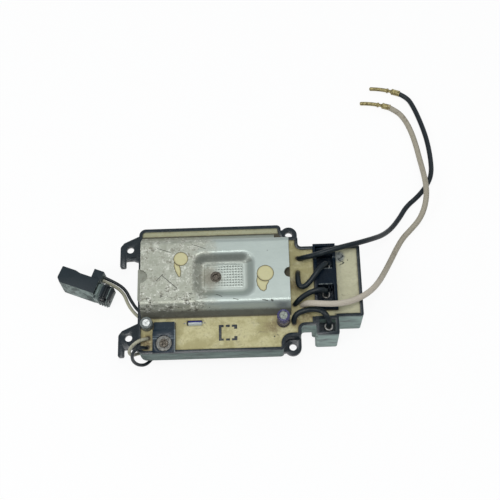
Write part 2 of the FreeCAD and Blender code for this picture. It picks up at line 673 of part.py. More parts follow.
# ---------------------------------------------------------------- relay in the pocket
X_RELAY = X_RIGHT - WALL - 1.0 - RELAY_WIDTH / 2
Y_RELAY = Y_POCKET_FRONT + WALL + 4.0
RELAY_TOP = BOARD_BOTTOM
RELAY_BOTTOM = RELAY_TOP - RELAY_HEIGHT
RELAY_X0 = X_RELAY - RELAY_WIDTH / 2
RELAY_X1 = X_RELAY + RELAY_WIDTH / 2
RELAY_Y1 = Y_RELAY + RELAY_LENGTH
Z_CORE = RELAY_BOTTOM + 6.0
COIL_R = 3.9
CORE_R = 1.7
CORE_FACE = Y_RELAY + 17.0        # pole face, which the armature stands clear of
ARMATURE_GAP = 0.9
ARMATURE_THICKNESS = 1.1
YOKE_THICKNESS = 1.2
ARMATURE_PIVOT_Z = Z_CORE + COIL_R + 0.6 + YOKE_THICKNESS
PIVOT_R = 0.6


def relay_case():
    outer = box(RELAY_X0, RELAY_X1, Y_RELAY, RELAY_Y1, RELAY_BOTTOM, RELAY_TOP)
    inner = box(RELAY_X0 + RELAY_WALL, RELAY_X1 - RELAY_WALL, Y_RELAY + RELAY_WALL,
                RELAY_Y1 - RELAY_WALL, RELAY_BOTTOM + RELAY_WALL, RELAY_TOP - RELAY_WALL)
    return outer.cut(inner)


def relay_core():
    back = Y_RELAY + RELAY_WALL
    return rod(V(X_RELAY, back + YOKE_THICKNESS, Z_CORE), V(X_RELAY, CORE_FACE, Z_CORE), CORE_R)


def relay_coil():
    y0 = Y_RELAY + RELAY_WALL + YOKE_THICKNESS
    winding = rod(V(X_RELAY, y0, Z_CORE), V(X_RELAY, CORE_FACE - 0.6, Z_CORE), COIL_R)
    return winding.cut(rod(V(X_RELAY, y0 - 1, Z_CORE), V(X_RELAY, CORE_FACE, Z_CORE), CORE_R))


def relay_yoke():
    """L-shaped iron: one leg behind the coil, one above it as far as the armature's pin."""
    back = Y_RELAY + RELAY_WALL
    half = 4.2
    under = ARMATURE_PIVOT_Z - YOKE_THICKNESS
    upright = box(X_RELAY - half, X_RELAY + half, back, back + YOKE_THICKNESS,
                  RELAY_BOTTOM + RELAY_WALL, ARMATURE_PIVOT_Z)
    beam = box(X_RELAY - half, X_RELAY + half, back, CORE_FACE, under, ARMATURE_PIVOT_Z)
    ears = [box(x, x + 1.0, CORE_FACE - 1.0, CORE_FACE + ARMATURE_GAP + ARMATURE_THICKNESS,
                under - 0.4, ARMATURE_PIVOT_Z + 1.2) for x in (X_RELAY - half, X_RELAY + half - 1.0)]
    return joined([upright, beam] + ears)


def pivot_line(reach):
    y = CORE_FACE + ARMATURE_GAP + ARMATURE_THICKNESS / 2
    z = ARMATURE_PIVOT_Z
    return V(X_RELAY - reach, y, z), V(X_RELAY + reach, y, z)


def relay_pivot_pin():
    start, end = pivot_line(4.2)
    return rod(start, end, PIVOT_R)


def relay_armature():
    """Iron flap that hangs on the pin in front of the pole, with a knuckle round the pin."""
    y0 = CORE_FACE + ARMATURE_GAP
    half = 3.0
    flap = box(X_RELAY - half, X_RELAY + half, y0, y0 + ARMATURE_THICKNESS,
               RELAY_BOTTOM + RELAY_WALL + 1.2, ARMATURE_PIVOT_Z)
    start, end = pivot_line(half)
    knuckle = rod(start, end, PIVOT_R + 0.7)
    hole_start, hole_end = pivot_line(half + 1)
    return joined([flap, knuckle]).cut(rod(hole_start, hole_end, PIVOT_R + RUNNING_CLEARANCE))


def relay_contacts():
    """Two fixed contact blades with round points, in front of the armature's free end."""
    y = CORE_FACE + ARMATURE_GAP + ARMATURE_THICKNESS + 1.2
    blades = []
    for x in (X_RELAY - 2.0, X_RELAY + 2.0):
        blade = box(x - 1.0, x + 1.0, y, y + 0.4, RELAY_BOTTOM + RELAY_WALL, Z_CORE + 2.0)
        point = rod(V(x, y - 0.5, Z_CORE - 1.5), V(x, y, Z_CORE - 1.5), 0.8)
        blades.append(joined([blade, point]))
    return blades


# ---------------------------------------------------------------- connector bar and sockets
Y_CELL_1 = Y_BAR_BACK - 9.4       # middle of the back cell
Y_CELL_2 = Y_BAR_FRONT + 9.3      # middle of the front cell
CELL_1_LENGTH = 9.6
CELL_2_LENGTH = 14.6
LEDGE_LENGTH = 4.0
CONTACT_1 = (X_BAR + 1.1, Y_CELL_1 - 2.4)
CONTACT_2 = (X_BAR + 0.3, Y_CELL_2 + 2.3)
CONTACT_3 = (X_BAR + 0.9, Y_BOX_FRONT + 7.0)
SOCKET_FLOOR = RIM - 8.0


def connector_bar():
    body = box(X_BAR_LEFT, X_BAR_RIGHT, Y_BAR_FRONT, Y_BAR_BACK, BOARD_TOP, BAR_TOP)
    lip = box(X_BAR_LEFT, X_BAR_RIGHT, Y_BAR_BACK, Y_EXT_BACK + 0.8, RIM, BAR_TOP)
    x0, x1 = X_BAR_LEFT + BAR_WALL, X_BAR_RIGHT - BAR_WALL
    bar = joined([body, lip])
    bar = bar.cut(box(x0, x1, Y_CELL_1 - CELL_1_LENGTH / 2, Y_CELL_1 + CELL_1_LENGTH / 2,
                      CELL_FLOOR, BAR_TOP + 1))
    bar = bar.cut(box(x0, x1, Y_CELL_2 - CELL_2_LENGTH / 2, Y_CELL_2 + CELL_2_LENGTH / 2,
                      CELL_FLOOR, BAR_TOP + 1))
    ledge_y = Y_CELL_1 + CELL_1_LENGTH / 2
    bar = bar.cut(box(x0 - 0.6, x1 + 0.6, ledge_y, ledge_y + LEDGE_LENGTH + 1.6, BAR_TOP - 1.4,
                      BAR_TOP + 1))
    for x in (x0 + 0.4, x1 - 3.2):
        bar = bar.cut(box(x, x + 2.8, ledge_y + 2.6, ledge_y + 3.9, BAR_TOP - 3.4, BAR_TOP))
    bridge_back = Y_CELL_1 - CELL_1_LENGTH / 2
    bridge_front = Y_CELL_2 + CELL_2_LENGTH / 2
    ridges = [box(x0 + 0.6, x1 - 0.6, y, y + 0.8, BAR_TOP - 0.5, BAR_TOP + 0.4)
              for y in (bridge_back - 0.8, bridge_front)]
    ribs = [box(x, x + 0.7, Y_CELL_2 + 5.0, bridge_front + 0.2, CELL_FLOOR - 0.5, BAR_TOP - 1.2)
            for x in (x1 - 3.4, x1 - 1.6)]
    return joined([bar] + ridges + ribs)


def socket_block():
    block = socket_cavity(FLOOR, SOCKET_FLOOR)
    return block.cut(post(CONTACT_3[0], CONTACT_3[1], SOCKET_FLOOR - 6, RIM, SOCKET_R))


def socket_contacts():
    """Three tubular contacts: one in each cell of the bar and one in the socket box."""
    places = [(CONTACT_1, CELL_FLOOR, 2.0, 2.4), (CONTACT_2, CELL_FLOOR, 2.0, 2.4),
              (CONTACT_3, SOCKET_FLOOR - 6, 9.0, SOCKET_R)]
    tubes = []
    for (x, y), z, height, radius in places:
        tube = post(x, y, z, z + height, radius)
        tubes.append(tube.cut(post(x, y, z + 0.6, z + height + 1, SOCKET_BORE_R)))
    return tubes


# ---------------------------------------------------------------- leads
FLOOR_LEVEL = 2.0                # centre of a lead that lies on the surface
JUMPER_FOOT = RESIN_TOP - 1.5

JUMPER_1 = [
    (38.6, 9.5, JUMPER_FOOT), (38.3, 5.4, 31.0), (38.6, -1.8, 33.0), (42.4, -3.4, 34.2),
    (47.6, 1.8, 35.6), (52.4, 8.6, 36.2), (57.1, 13.0, 34.2),
    (CONTACT_1[0], CONTACT_1[1], 28.8), (CONTACT_1[0], CONTACT_1[1] - 0.3, CELL_FLOOR + 0.6),
]
JUMPER_2 = [
    (35.2, -13.4, JUMPER_FOOT), (37.6, -11.4, 31.2), (43.2, -8.0, 34.2), (49.5, -6.0, 35.8),
    (54.5, -5.5, 34.8), (CONTACT_2[0], CONTACT_2[1], 29.7),
    (CONTACT_2[0], CONTACT_2[1] - 0.2, CELL_FLOOR + 0.6),
]
JUMPER_3 = [
    (34.9, -25.8, JUMPER_FOOT), (34.4, -23.2, 30.0), (37.0, -19.8, 31.4), (41.6, -18.3, 31.6),
    (46.6, -17.6, 32.2), (51.6, -18.9, 34.4), (55.2, -22.2, 35.2),
    (CONTACT_3[0], CONTACT_3[1] + 0.8, 32.4), (CONTACT_3[0], CONTACT_3[1], 26.6),
    (CONTACT_3[0], CONTACT_3[1] - 0.2, SOCKET_FLOOR),
]
BLACK_LEAD = [
    (38.4, 19.0, JUMPER_FOOT), (42.3, 17.9, 31.6), (47.8, 17.2, 36.4), (54.8, 18.4, 38.4),
    (63.0, 20.8, 38.6), (71.8, 23.4, 37.2), (80.5, 26.6, 34.0), (89.0, 31.4, 27.2),
    (97.0, 37.4, 17.8), (104.5, 45.6, 8.6), (111.5, 55.6, 2.9), (117.2, 64.8, FLOOR_LEVEL),
    (126.1, 72.2, FLOOR_LEVEL), (133.0, 80.5, FLOOR_LEVEL), (137.0, 89.0, FLOOR_LEVEL),
    (137.5, 101.0, FLOOR_LEVEL), (136.2, 116.5, FLOOR_LEVEL), (132.8, 131.2, FLOOR_LEVEL),
    (128.6, 144.2, FLOOR_LEVEL), (124.6, 151.8, FLOOR_LEVEL + 0.1),
    (118.0, 155.2, BARREL_R + 0.1),
]
WHITE_LEAD = [
    (40.1, -13.6, JUMPER_FOOT - 0.3), (42.2, -13.9, 32.6), (46.2, -15.4, 38.2),
    (53.0, -16.7, 40.0), (61.5, -17.0, 39.6), (70.0, -15.4, 37.9), (78.6, -11.4, 34.8),
    (86.2, -4.6, 28.6), (92.2, 3.8, 20.4), (97.4, 13.4, 11.6), (103.0, 24.0, 4.8),
    (108.0, 33.6, FLOOR_LEVEL), (113.0, 41.4, FLOOR_LEVEL), (119.0, 47.2, 2.7),
    (125.2, 53.4, 5.6), (129.0, 61.4, 8.8), (130.9, 71.0, 10.3), (130.7, 81.0, 9.9),
    (130.3, 91.5, 5.7), (129.3, 102.5, 2.6), (127.8, 113.5, FLOOR_LEVEL),
    (125.4, 123.8, FLOOR_LEVEL), (122.0, 133.0, FLOOR_LEVEL), (117.0, 140.2, FLOOR_LEVEL + 0.1),
    (110.4, 143.9, BARREL_R + 0.1),
]


def pin_terminal(start, aim, bend):
    """Crimp barrel, neck and round contact pin, from the lead's end; bend tips the pin's end."""
    direction = V(cos(radians(aim)), sin(radians(aim)), 0)
    side = V(-direction.y, direction.x, 0)
    at = V(*start)
    barrel = rod(at - direction * 1.6, at + direction * 4.6, BARREL_R)
    neck = rod(at + direction * 4.5, at + direction * 7.0, 1.2)
    collar = rod(at + direction * 6.8, at + direction * 8.0, 1.8)
    elbow = at + direction * 13.8
    tip = elbow + direction * 6.6 + side * bend
    pin = joined([rod(at + direction * 7.9, elbow, PIN_R), Part.makeSphere(PIN_R, elbow),
                  rod(elbow, tip, PIN_R), Part.makeSphere(PIN_R, tip)])
    return joined([barrel, neck, collar, pin])


# ---------------------------------------------------------------- plug on the signal lead
PLUG_CORNER = V(-124.65, 11.7, 0)
END_X0 = PLUG_LENGTH
END_X1 = PLUG_LENGTH + END_BLOCK_LENGTH
LATCH_Z = END_BLOCK_HEIGHT + 1.7
LATCH_PIVOT_X = END_X0 + 6.6
EXIT_X = END_X0 + 0.6
WIRE_Z = 7.0
CREAM_EXIT = (EXIT_X, PLUG_WIDTH + 1.6, WIRE_Z + 0.6)
BLACK_EXIT = (EXIT_X, PLUG_WIDTH + 4.2, WIRE_Z - 0.6)


def on_plug(shape):
    """Moves a shape from the plug's own frame to where the plug lies."""
    placed = shape.copy()
    placed.rotate(V(0, 0, 0), Z_AXIS, PLUG_ANGLE)
    placed.translate(PLUG_CORNER)
    return placed


def plug_point(x, y, z):
    turned = radians(PLUG_ANGLE)
    return (PLUG_CORNER.x + x * cos(turned) - y * sin(turned),
            PLUG_CORNER.y + x * sin(turned) + y * cos(turned), z)


def plug_cover():
    """Elbow cover: a bevelled box with the wires' exit boss on its back."""
    body = slab([
        (4.6, 0.2, 1.5), (PLUG_LENGTH, 0.0, 0.4), (PLUG_LENGTH, PLUG_WIDTH, 0.4),
        (13.5, PLUG_WIDTH, 2.0), (10.0, PLUG_WIDTH + 0.9, 2.0), (0.4, PLUG_WIDTH + 0.9, 0.5),
        (0.0, 5.0, 2.0),
    ], 0, PLUG_HEIGHT)
    slope = Part.Face(Part.makePolygon([
        V(-1, -1, 1.5), V(-1, 0, 1.5), V(-1, PLUG_SLOPE, PLUG_HEIGHT),
        V(-1, PLUG_SLOPE, PLUG_HEIGHT + 1), V(-1, -1, PLUG_HEIGHT + 1), V(-1, -1, 1.5)]))
    body = body.cut(slope.extrude(V(PLUG_LENGTH + 2, 0, 0)))
    boss = box(END_X0 - EXIT_BOSS_LENGTH + 0.6, EXIT_X, PLUG_WIDTH - 0.5,
               PLUG_WIDTH + EXIT_BOSS_REACH, 0, PLUG_HEIGHT - 1.5)
    body = joined([body, boss])
    inside = box(8.0, PLUG_LENGTH + 1, PLUG_FRONT_WALL, PLUG_WIDTH - PLUG_WALL, PLUG_WALL,
                 PLUG_HEIGHT - PLUG_WALL - 1.4)
    return on_plug(body.cut(inside))


def plug_block():
    """Ribbed contact block in the cover's open end, with two ears for the latch's pin."""
    block = box(8.3, END_X0, PLUG_FRONT_WALL + 0.05, PLUG_WIDTH - PLUG_WALL - 0.05, PLUG_WALL + 0.05,
                PLUG_HEIGHT - PLUG_WALL - 1.45)
    end = box(END_X0, END_X1, 0.2, PLUG_WIDTH - 1.2, 0, END_BLOCK_HEIGHT)
    parts = [block, end]
    for k in range(4):
        x = END_X0 + 3.2 + 1.8 * k
        parts.append(box(x, x + 0.9, -0.4, 0.2, 0, END_BLOCK_HEIGHT))
    for y in (0.4, PLUG_WIDTH - 2.6):
        parts.append(box(LATCH_PIVOT_X - 1.6, LATCH_PIVOT_X + 1.6, y, y + 1.2,
                         END_BLOCK_HEIGHT, LATCH_Z + 1.5))
    body = joined(parts)
    for y in (3.2, 8.0):
        body = body.cut(box(END_X1 - 7.0, END_X1 + 1, y - 1.2, y + 1.2, 4.2, 6.8))
    start, end_point = latch_line(PLUG_WIDTH / 2 + 2)
    return on_plug(body.cut(rod(start, end_point, LATCH_PIN_R)))


def latch_line(reach):
    middle = PLUG_WIDTH / 2 - 0.4
    return V(LATCH_PIVOT_X, middle - reach, LATCH_Z), V(LATCH_PIVOT_X, middle + reach, LATCH_Z)


def latch_pin():
    return on_plug(rod(*latch_line(5.6), LATCH_PIN_R))


def plug_latch():
    """Rocking latch: a thumb rib at the cover's end, the pin, and a catch at the far end."""
    y0, y1 = 1.9, PLUG_WIDTH - 2.9
    arm = box(END_X0 + 0.8, END_X1 + 0.6, y0, y1, LATCH_Z - LATCH_THICKNESS / 2,
              LATCH_Z + LATCH_THICKNESS / 2)
    rib = rod(V(END_X0 + 1.9, y0, LATCH_Z + 0.5), V(END_X0 + 1.9, y1, LATCH_Z + 0.5), 1.3)
    start, end = latch_line((y1 - y0) / 2)
    knuckle = rod(start, end, LATCH_PIN_R + 0.6)
    catch = box(END_X1 + 0.6, END_X1 + 1.6, y0, y1, LATCH_Z - 2.4, LATCH_Z + LATCH_THICKNESS / 2)
    hole_start, hole_end = latch_line(PLUG_WIDTH)
    latch = joined([arm, rib, knuckle, catch])
    return on_plug(latch.cut(rod(hole_start, hole_end, LATCH_PIN_R + RUNNING_CLEARANCE)))


def plug_contacts():
    blades = []
    for y in (3.2, 8.0):
        blades.append(on_plug(box(END_X1 - 7.0, END_X1 - 0.6, y - 0.9, y + 0.9, 5.2, 5.9)))
    return blades


# The pair leaves the resin, loops over the corner of the rim and runs under the tray.
SIGNAL_CREAM = [
    (-58.6, -32.2, RESIN_TOP - 1.5), (-60.8, -33.7, 31.0), (-64.6, -35.6, 33.2),
    (-69.2, -38.0, 30.2), (-71.8, -40.4, 24.0), (-71.6, -42.2, 16.6), (-69.0, -43.0, 9.8),
    (-64.4, -42.8, 4.8), (-58.4, -40.8, 2.0), (-53.0, -35.5, 1.5), (-51.8, -27.0, 1.5),
    (-55.8, -19.0, 1.5), (-62.4, -15.0, 1.5), (-70.8, -8.5, 1.5), (-76.2, -1.4, 1.6),
    (-79.3, 7.2, 2.8), (-86.0, 12.2, 5.2), plug_point(*CREAM_EXIT),
]
SIGNAL_BLACK = [
    (-59.0, -38.6, RESIN_TOP - 1.5), (-60.6, -39.2, 31.0), (-64.2, -40.4, 34.0),
    (-68.2, -42.4, 32.2), (-70.6, -44.8, 26.8), (-70.4, -46.6, 20.0), (-67.2, -47.2, 13.6),
    (-62.6, -45.4, 8.4), (-58.4, -39.6, 6.0), (-55.2, -31.4, 5.9), (-54.8, -23.0, 5.9),
    (-58.2, -15.4, 5.2), (-64.2, -10.0, 2.8), (-70.0, -4.4, 1.6), (-73.4, 2.8, 1.6),
    (-77.6, 10.2, 2.8), (-84.6, 14.6, 4.6), plug_point(*BLACK_EXIT),
]


# ---------------------------------------------------------------- resin
def potting_resin(buried):
    """Fills the tray to just under its rim and the space under the plate, round every part."""
    mound = bar_along_x(plate_section(SHEET), X_PLATE_LEFT, X_PLATE_RIGHT)
    mound = joined([mound] + comma_holes(SHEET_UNDER - 1, PLATE_TOP - 0.1))
    mound = mound.cut(box(X_PLATE_RIGHT - FLANGE_CUT_LENGTH, X_RIGHT, PLATE_TOP_BACK + 1.0,
                          Y_BACK, 0, PLATE_TOP + 1))
    fill = joined([cavity(RESIN_TOP), mound]).cut(dish_block(SHEET)).cut(housing_tray())
    for shape in buried:
        fill = fill.cut(shape)
    return fill


# ---------------------------------------------------------------- build
def build():
    tray = housing_tray()
    plate = heat_sink_plate()
    left_can, left_sleeve = capacitor(X_LEFT_CAN, Y_LEFT_CAN, LEFT_CAN_R, RIM + LEFT_CAN_RISE)
    right_can, right_sleeve = capacitor(X_RIGHT_CAN, Y_RIGHT_CAN, RIGHT_CAN_R,
                                        RIM + RIGHT_CAN_RISE)
    chip_body, chip_legs = control_chip()
    nuts = [nut(X_PLATE_SCREW, Y_PLATE_SCREW, 7.0, PLATE_SCREW_R, BOARD_TOP, OUTPUT_BOTTOM),
            nut(X_POWER, Y_POWER_SCREW, 5.5, SMALL_SCREW_R, BOARD_TOP, POWER_BOTTOM)]
    legs = transistor_legs()
    board = circuit_board()
    pierced = [box(s.BoundBox.XMin, s.BoundBox.XMax, s.BoundBox.YMin, s.BoundBox.YMax,
                   BOARD_BOTTOM - 1, BOARD_TOP + 0.01) for s in chip_legs]
    for shape in legs + diode_leads() + pierced:
        board = board.cut(shape)
    nodes = {
        "housing_tray": tray,
        "circuit_board": board,
        "heat_sink_plate": plate,
        "thermal_pad": thermal_pad(),
        "thermal_sheet": thermal_sheet(),
        "plate_screw": plate_screw(),
        "output_transistor": output_transistor(),
        "clamp_nuts": Part.makeCompound(nuts),
        "power_block": power_block(),
        "power_washer": power_washer(),
        "power_screw": power_screw(),
        "transistor_legs": Part.makeCompound(legs),
        "left_capacitor_can": left_can,
        "left_capacitor_sleeve": left_sleeve,
        "right_capacitor_can": right_can,
        "right_capacitor_sleeve": right_sleeve,
        "diode_body": diode_body(),
        "diode_leads": Part.makeCompound(diode_leads()),
        "coil_former": coil_former(),
        "control_chip": chip_body,
        "control_chip_legs": Part.makeCompound(chip_legs),
        "transformer_core": transformer_core(),
        "transformer_coil": transformer_coil(),
        "relay_case": relay_case(),
        "relay_coil": relay_coil(),
        "relay_core": relay_core(),
        "relay_yoke": relay_yoke().cut(relay_pivot_pin()),
        "relay_pivot_pin": relay_pivot_pin(),
        "relay_armature": relay_armature(),
        "relay_contacts": Part.makeCompound(relay_contacts()),
        "connector_bar": connector_bar(),
        "socket_block": socket_block(),
        "socket_contacts": Part.makeCompound(socket_contacts()),
        "black_pin_terminal": pin_terminal(BLACK_LEAD[-1], 160.0, 2.4),
        "white_pin_terminal": pin_terminal(WHITE_LEAD[-1], 162.0, 2.4),
        "plug_cover": plug_cover(),
        "plug_block": plug_block(),
        "plug_contacts": Part.makeCompound(plug_contacts()),
        "plug_latch": plug_latch(),
        "latch_pin": latch_pin(),
    }
    hollow_parts = [
        box(RELAY_X0, RELAY_X1, Y_RELAY, RELAY_Y1, RELAY_BOTTOM, RELAY_TOP),
        box(X_BAR_LEFT, X_BAR_RIGHT, Y_BAR_FRONT, Y_BAR_BACK, BOARD_TOP, BAR_TOP),
    ]
    buried = [nodes[name] for name in (
        "circuit_board", "thermal_pad", "heat_sink_plate", "thermal_sheet", "plate_screw", "output_transistor",
        "clamp_nuts", "power_block", "power_screw", "transistor_legs", "left_capacitor_can",
        "left_capacitor_sleeve", "right_capacitor_can", "right_capacitor_sleeve", "diode_body",
        "diode_leads", "coil_former", "control_chip", "control_chip_legs", "transformer_core",
        "transformer_coil")]
    nodes["potting_resin"] = potting_resin(buried + hollow_parts)
    for name, shape in nodes.items():
        save(name, shape)
        print(name, "solids", len(shape.Solids), "valid", shape.isValid(),
              "volume %.1f" % shape.Volume)
    cord("jumper_back", JUMPER_1, LEAD_D)
    cord("jumper_middle", JUMPER_2, LEAD_D)
    cord("jumper_front", JUMPER_3, LEAD_D)
    cord("black_lead", BLACK_LEAD, LEAD_D)
    cord("white_lead", WHITE_LEAD, WHITE_LEAD_D)
    cord("signal_lead_cream", SIGNAL_CREAM, SIGNAL_D)
    cord("signal_lead_black", SIGNAL_BLACK, SIGNAL_D)


build()
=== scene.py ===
"""Looks of a potted control module: tray, cream resin, pressed heat-sink plate, leads, plug."""
import json
from math import cos, pi, radians, sin

import bpy
import numpy as np
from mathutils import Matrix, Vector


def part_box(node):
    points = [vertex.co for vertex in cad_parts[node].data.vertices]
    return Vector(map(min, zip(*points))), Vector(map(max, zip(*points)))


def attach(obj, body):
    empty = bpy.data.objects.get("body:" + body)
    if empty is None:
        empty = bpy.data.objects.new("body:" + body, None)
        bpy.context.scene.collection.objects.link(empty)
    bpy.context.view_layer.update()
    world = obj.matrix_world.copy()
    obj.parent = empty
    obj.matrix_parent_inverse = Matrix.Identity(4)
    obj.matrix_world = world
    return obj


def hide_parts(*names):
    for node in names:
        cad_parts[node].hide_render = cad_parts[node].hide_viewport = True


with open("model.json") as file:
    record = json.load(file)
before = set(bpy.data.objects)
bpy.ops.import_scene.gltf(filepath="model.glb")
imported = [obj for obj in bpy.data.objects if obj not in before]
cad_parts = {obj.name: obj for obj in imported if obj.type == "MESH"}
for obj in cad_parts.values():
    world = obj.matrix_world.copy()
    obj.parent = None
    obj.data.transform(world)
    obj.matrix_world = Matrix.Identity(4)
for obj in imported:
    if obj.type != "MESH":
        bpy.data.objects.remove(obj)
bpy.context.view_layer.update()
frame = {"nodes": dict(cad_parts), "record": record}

nodes = frame["nodes"]
node_slot = {part["node"]: part["material_slot"] for part in frame["record"]["subparts"]}
scene = bpy.context.scene
MM = 0.001
TAU = 2 * pi

# ---- camera
camera = bpy.data.objects.new("camera", bpy.data.cameras.new("camera"))
camera.data.sensor_width = 36.0
camera.data.lens = 69.12
camera.data.clip_start = 0.01
camera.location = (0.01912, -0.20391, 0.61943)
camera.rotation_euler = (radians(21.20), radians(1.634), radians(-1.362))
scene.collection.objects.link(camera)
scene.camera = camera


# ---- leads
def lead(name, route, diameter):
    """A round lead along a smooth line of second degree whose control points are the route's."""
    line = bpy.data.curves.new(name, "CURVE")
    line.dimensions = "3D"
    spline = line.splines.new("NURBS")
    controls = np.ones((len(route), 4))
    controls[:, :3] = np.array(route) * MM
    spline.points.add(len(route) - 1)
    spline.points.foreach_set("co", controls.ravel())
    spline.order_u = 3
    spline.use_endpoint_u = True
    line.resolution_u = 10
    line.bevel_depth = diameter / 2 * MM
    line.bevel_resolution = 7
    line.use_fill_caps = True
    piece = bpy.data.objects.new(name, line)
    scene.collection.objects.link(piece)
    return piece


RESIN_TOP = 27.3
FOOT = RESIN_TOP - 1.5
LYING = 2.0
SIGNAL_LYING = 1.5
leads = {
    "jumper_back": lead("lead_jumper_back", [
        (38.6, 9.5, FOOT), (38.3, 5.4, 31.0), (38.6, -1.8, 33.0), (42.4, -3.4, 34.2),
        (47.6, 1.8, 35.6), (52.4, 8.6, 36.2), (57.1, 13.0, 34.2), (57.35, 13.25, 28.8),
        (57.35, 12.95, 23.6),
    ], 3.5),
    "jumper_middle": lead("lead_jumper_middle", [
        (35.2, -13.4, FOOT), (37.6, -11.4, 31.2), (43.2, -8.0, 34.2), (49.5, -6.0, 35.8),
        (54.5, -5.5, 34.8), (56.55, -5.75, 29.7), (56.55, -5.95, 23.6),
    ], 3.5),
    "jumper_front": lead("lead_jumper_front", [
        (34.9, -25.8, FOOT), (34.4, -23.2, 30.0), (37.0, -19.8, 31.4), (41.6, -18.3, 31.6),
        (46.6, -17.6, 32.2), (51.6, -18.9, 34.4), (55.2, -22.2, 35.2), (57.15, -26.15, 32.4),
        (57.15, -26.95, 26.6), (57.15, -27.15, 20.5),
    ], 3.5),
    "black_lead": lead("lead_black", [
        (38.4, 19.0, FOOT), (42.3, 17.9, 31.6), (47.8, 17.2, 36.4), (54.8, 18.4, 38.4),
        (63.0, 20.8, 38.6), (71.8, 23.4, 37.2), (80.5, 26.6, 34.0), (89.0, 31.4, 27.2),
        (97.0, 37.4, 17.8), (104.5, 45.6, 8.6), (111.5, 55.6, 2.9), (117.2, 64.8, LYING),
        (126.1, 72.2, LYING), (133.0, 80.5, LYING), (137.0, 89.0, LYING),
        (137.5, 101.0, LYING), (136.2, 116.5, LYING), (132.8, 131.2, LYING),
        (128.6, 144.2, LYING), (124.6, 151.8, LYING + 0.1), (118.0, 155.2, 2.4),
    ], 3.5),
    "white_lead": lead("lead_white", [
        (40.1, -13.6, FOOT - 0.3), (42.2, -13.9, 32.6), (46.2, -15.4, 38.2),
        (53.0, -16.7, 40.0), (61.5, -17.0, 39.6), (70.0, -15.4, 37.9), (78.6, -11.4, 34.8),
        (86.2, -4.6, 28.6), (92.2, 3.8, 20.4), (97.4, 13.4, 11.6), (103.0, 24.0, 4.8),
        (108.0, 33.6, LYING), (113.0, 41.4, LYING), (119.0, 47.2, 2.7), (125.2, 53.4, 5.6),
        (129.0, 61.4, 8.8), (130.9, 71.0, 10.3), (130.7, 81.0, 9.9), (130.3, 91.5, 5.7),
        (129.3, 102.5, 2.6), (127.8, 113.5, LYING), (125.4, 123.8, LYING),
        (122.0, 133.0, LYING), (117.0, 140.2, LYING + 0.1), (110.4, 143.9, 2.4),
    ], 3.9),
    "signal_lead_cream": lead("lead_signal_cream", [
        (-58.6, -32.2, FOOT), (-60.8, -33.7, 31.0), (-64.6, -35.6, 33.2), (-69.2, -38.0, 30.2),
        (-71.9, -39.8, 24.0), (-71.8, -39.8, 16.6), (-71.0, -38.6, 10.0), (-68.6, -36.0, 4.9),
        (-62.6, -34.8, 2.0), (-54.6, -33.0, SIGNAL_LYING), (-50.4, -26.4, SIGNAL_LYING),
        (-54.4, -17.8, SIGNAL_LYING), (-62.4, -15.0, SIGNAL_LYING),
        (-70.8, -8.5, SIGNAL_LYING), (-76.2, -1.4, 1.6), (-79.3, 7.2, 2.8), (-86.0, 12.2, 5.2),
        (-93.0, 15.0, 7.6),
    ], 2.2),
    "signal_lead_black": lead("lead_signal_black", [
        (-59.0, -38.6, FOOT), (-60.6, -39.2, 31.0), (-63.9, -40.2, 34.0), (-67.4, -41.8, 32.2),
        (-69.4, -43.8, 26.8), (-69.4, -45.4, 20.0), (-66.8, -46.2, 13.6), (-62.6, -44.8, 8.4),
        (-58.4, -39.6, 6.0), (-55.2, -31.4, 5.9), (-54.8, -23.0, 5.9), (-58.2, -15.4, 5.2),
        (-64.2, -10.0, 2.8), (-70.3, -4.5, 1.6), (-74.6, 2.2, 1.7), (-78.2, 9.7, 2.9),
        (-84.8, 14.3, 4.7), (-92.0, 17.4, 6.4),
    ], 2.2),
}


# ---- shader arithmetic
class Field:
    """A socket whose arithmetic adds Math nodes to its finish."""

    def __init__(self, finish, socket):
        self.finish, self.socket = finish, socket

    def sum_up(self, operation, *terms):
        return self.finish.node("ShaderNodeMath", {"operation": operation}, dict(enumerate(terms)))

    def __add__(self, other):
        return self.sum_up("ADD", self, other)

    def __sub__(self, other):
        return self.sum_up("SUBTRACT", self, other)

    def __rsub__(self, other):
        return self.sum_up("SUBTRACT", other, self)

    def __mul__(self, other):
        return self.sum_up("MULTIPLY", self, other)

    __radd__ = __add__
    __rmul__ = __mul__


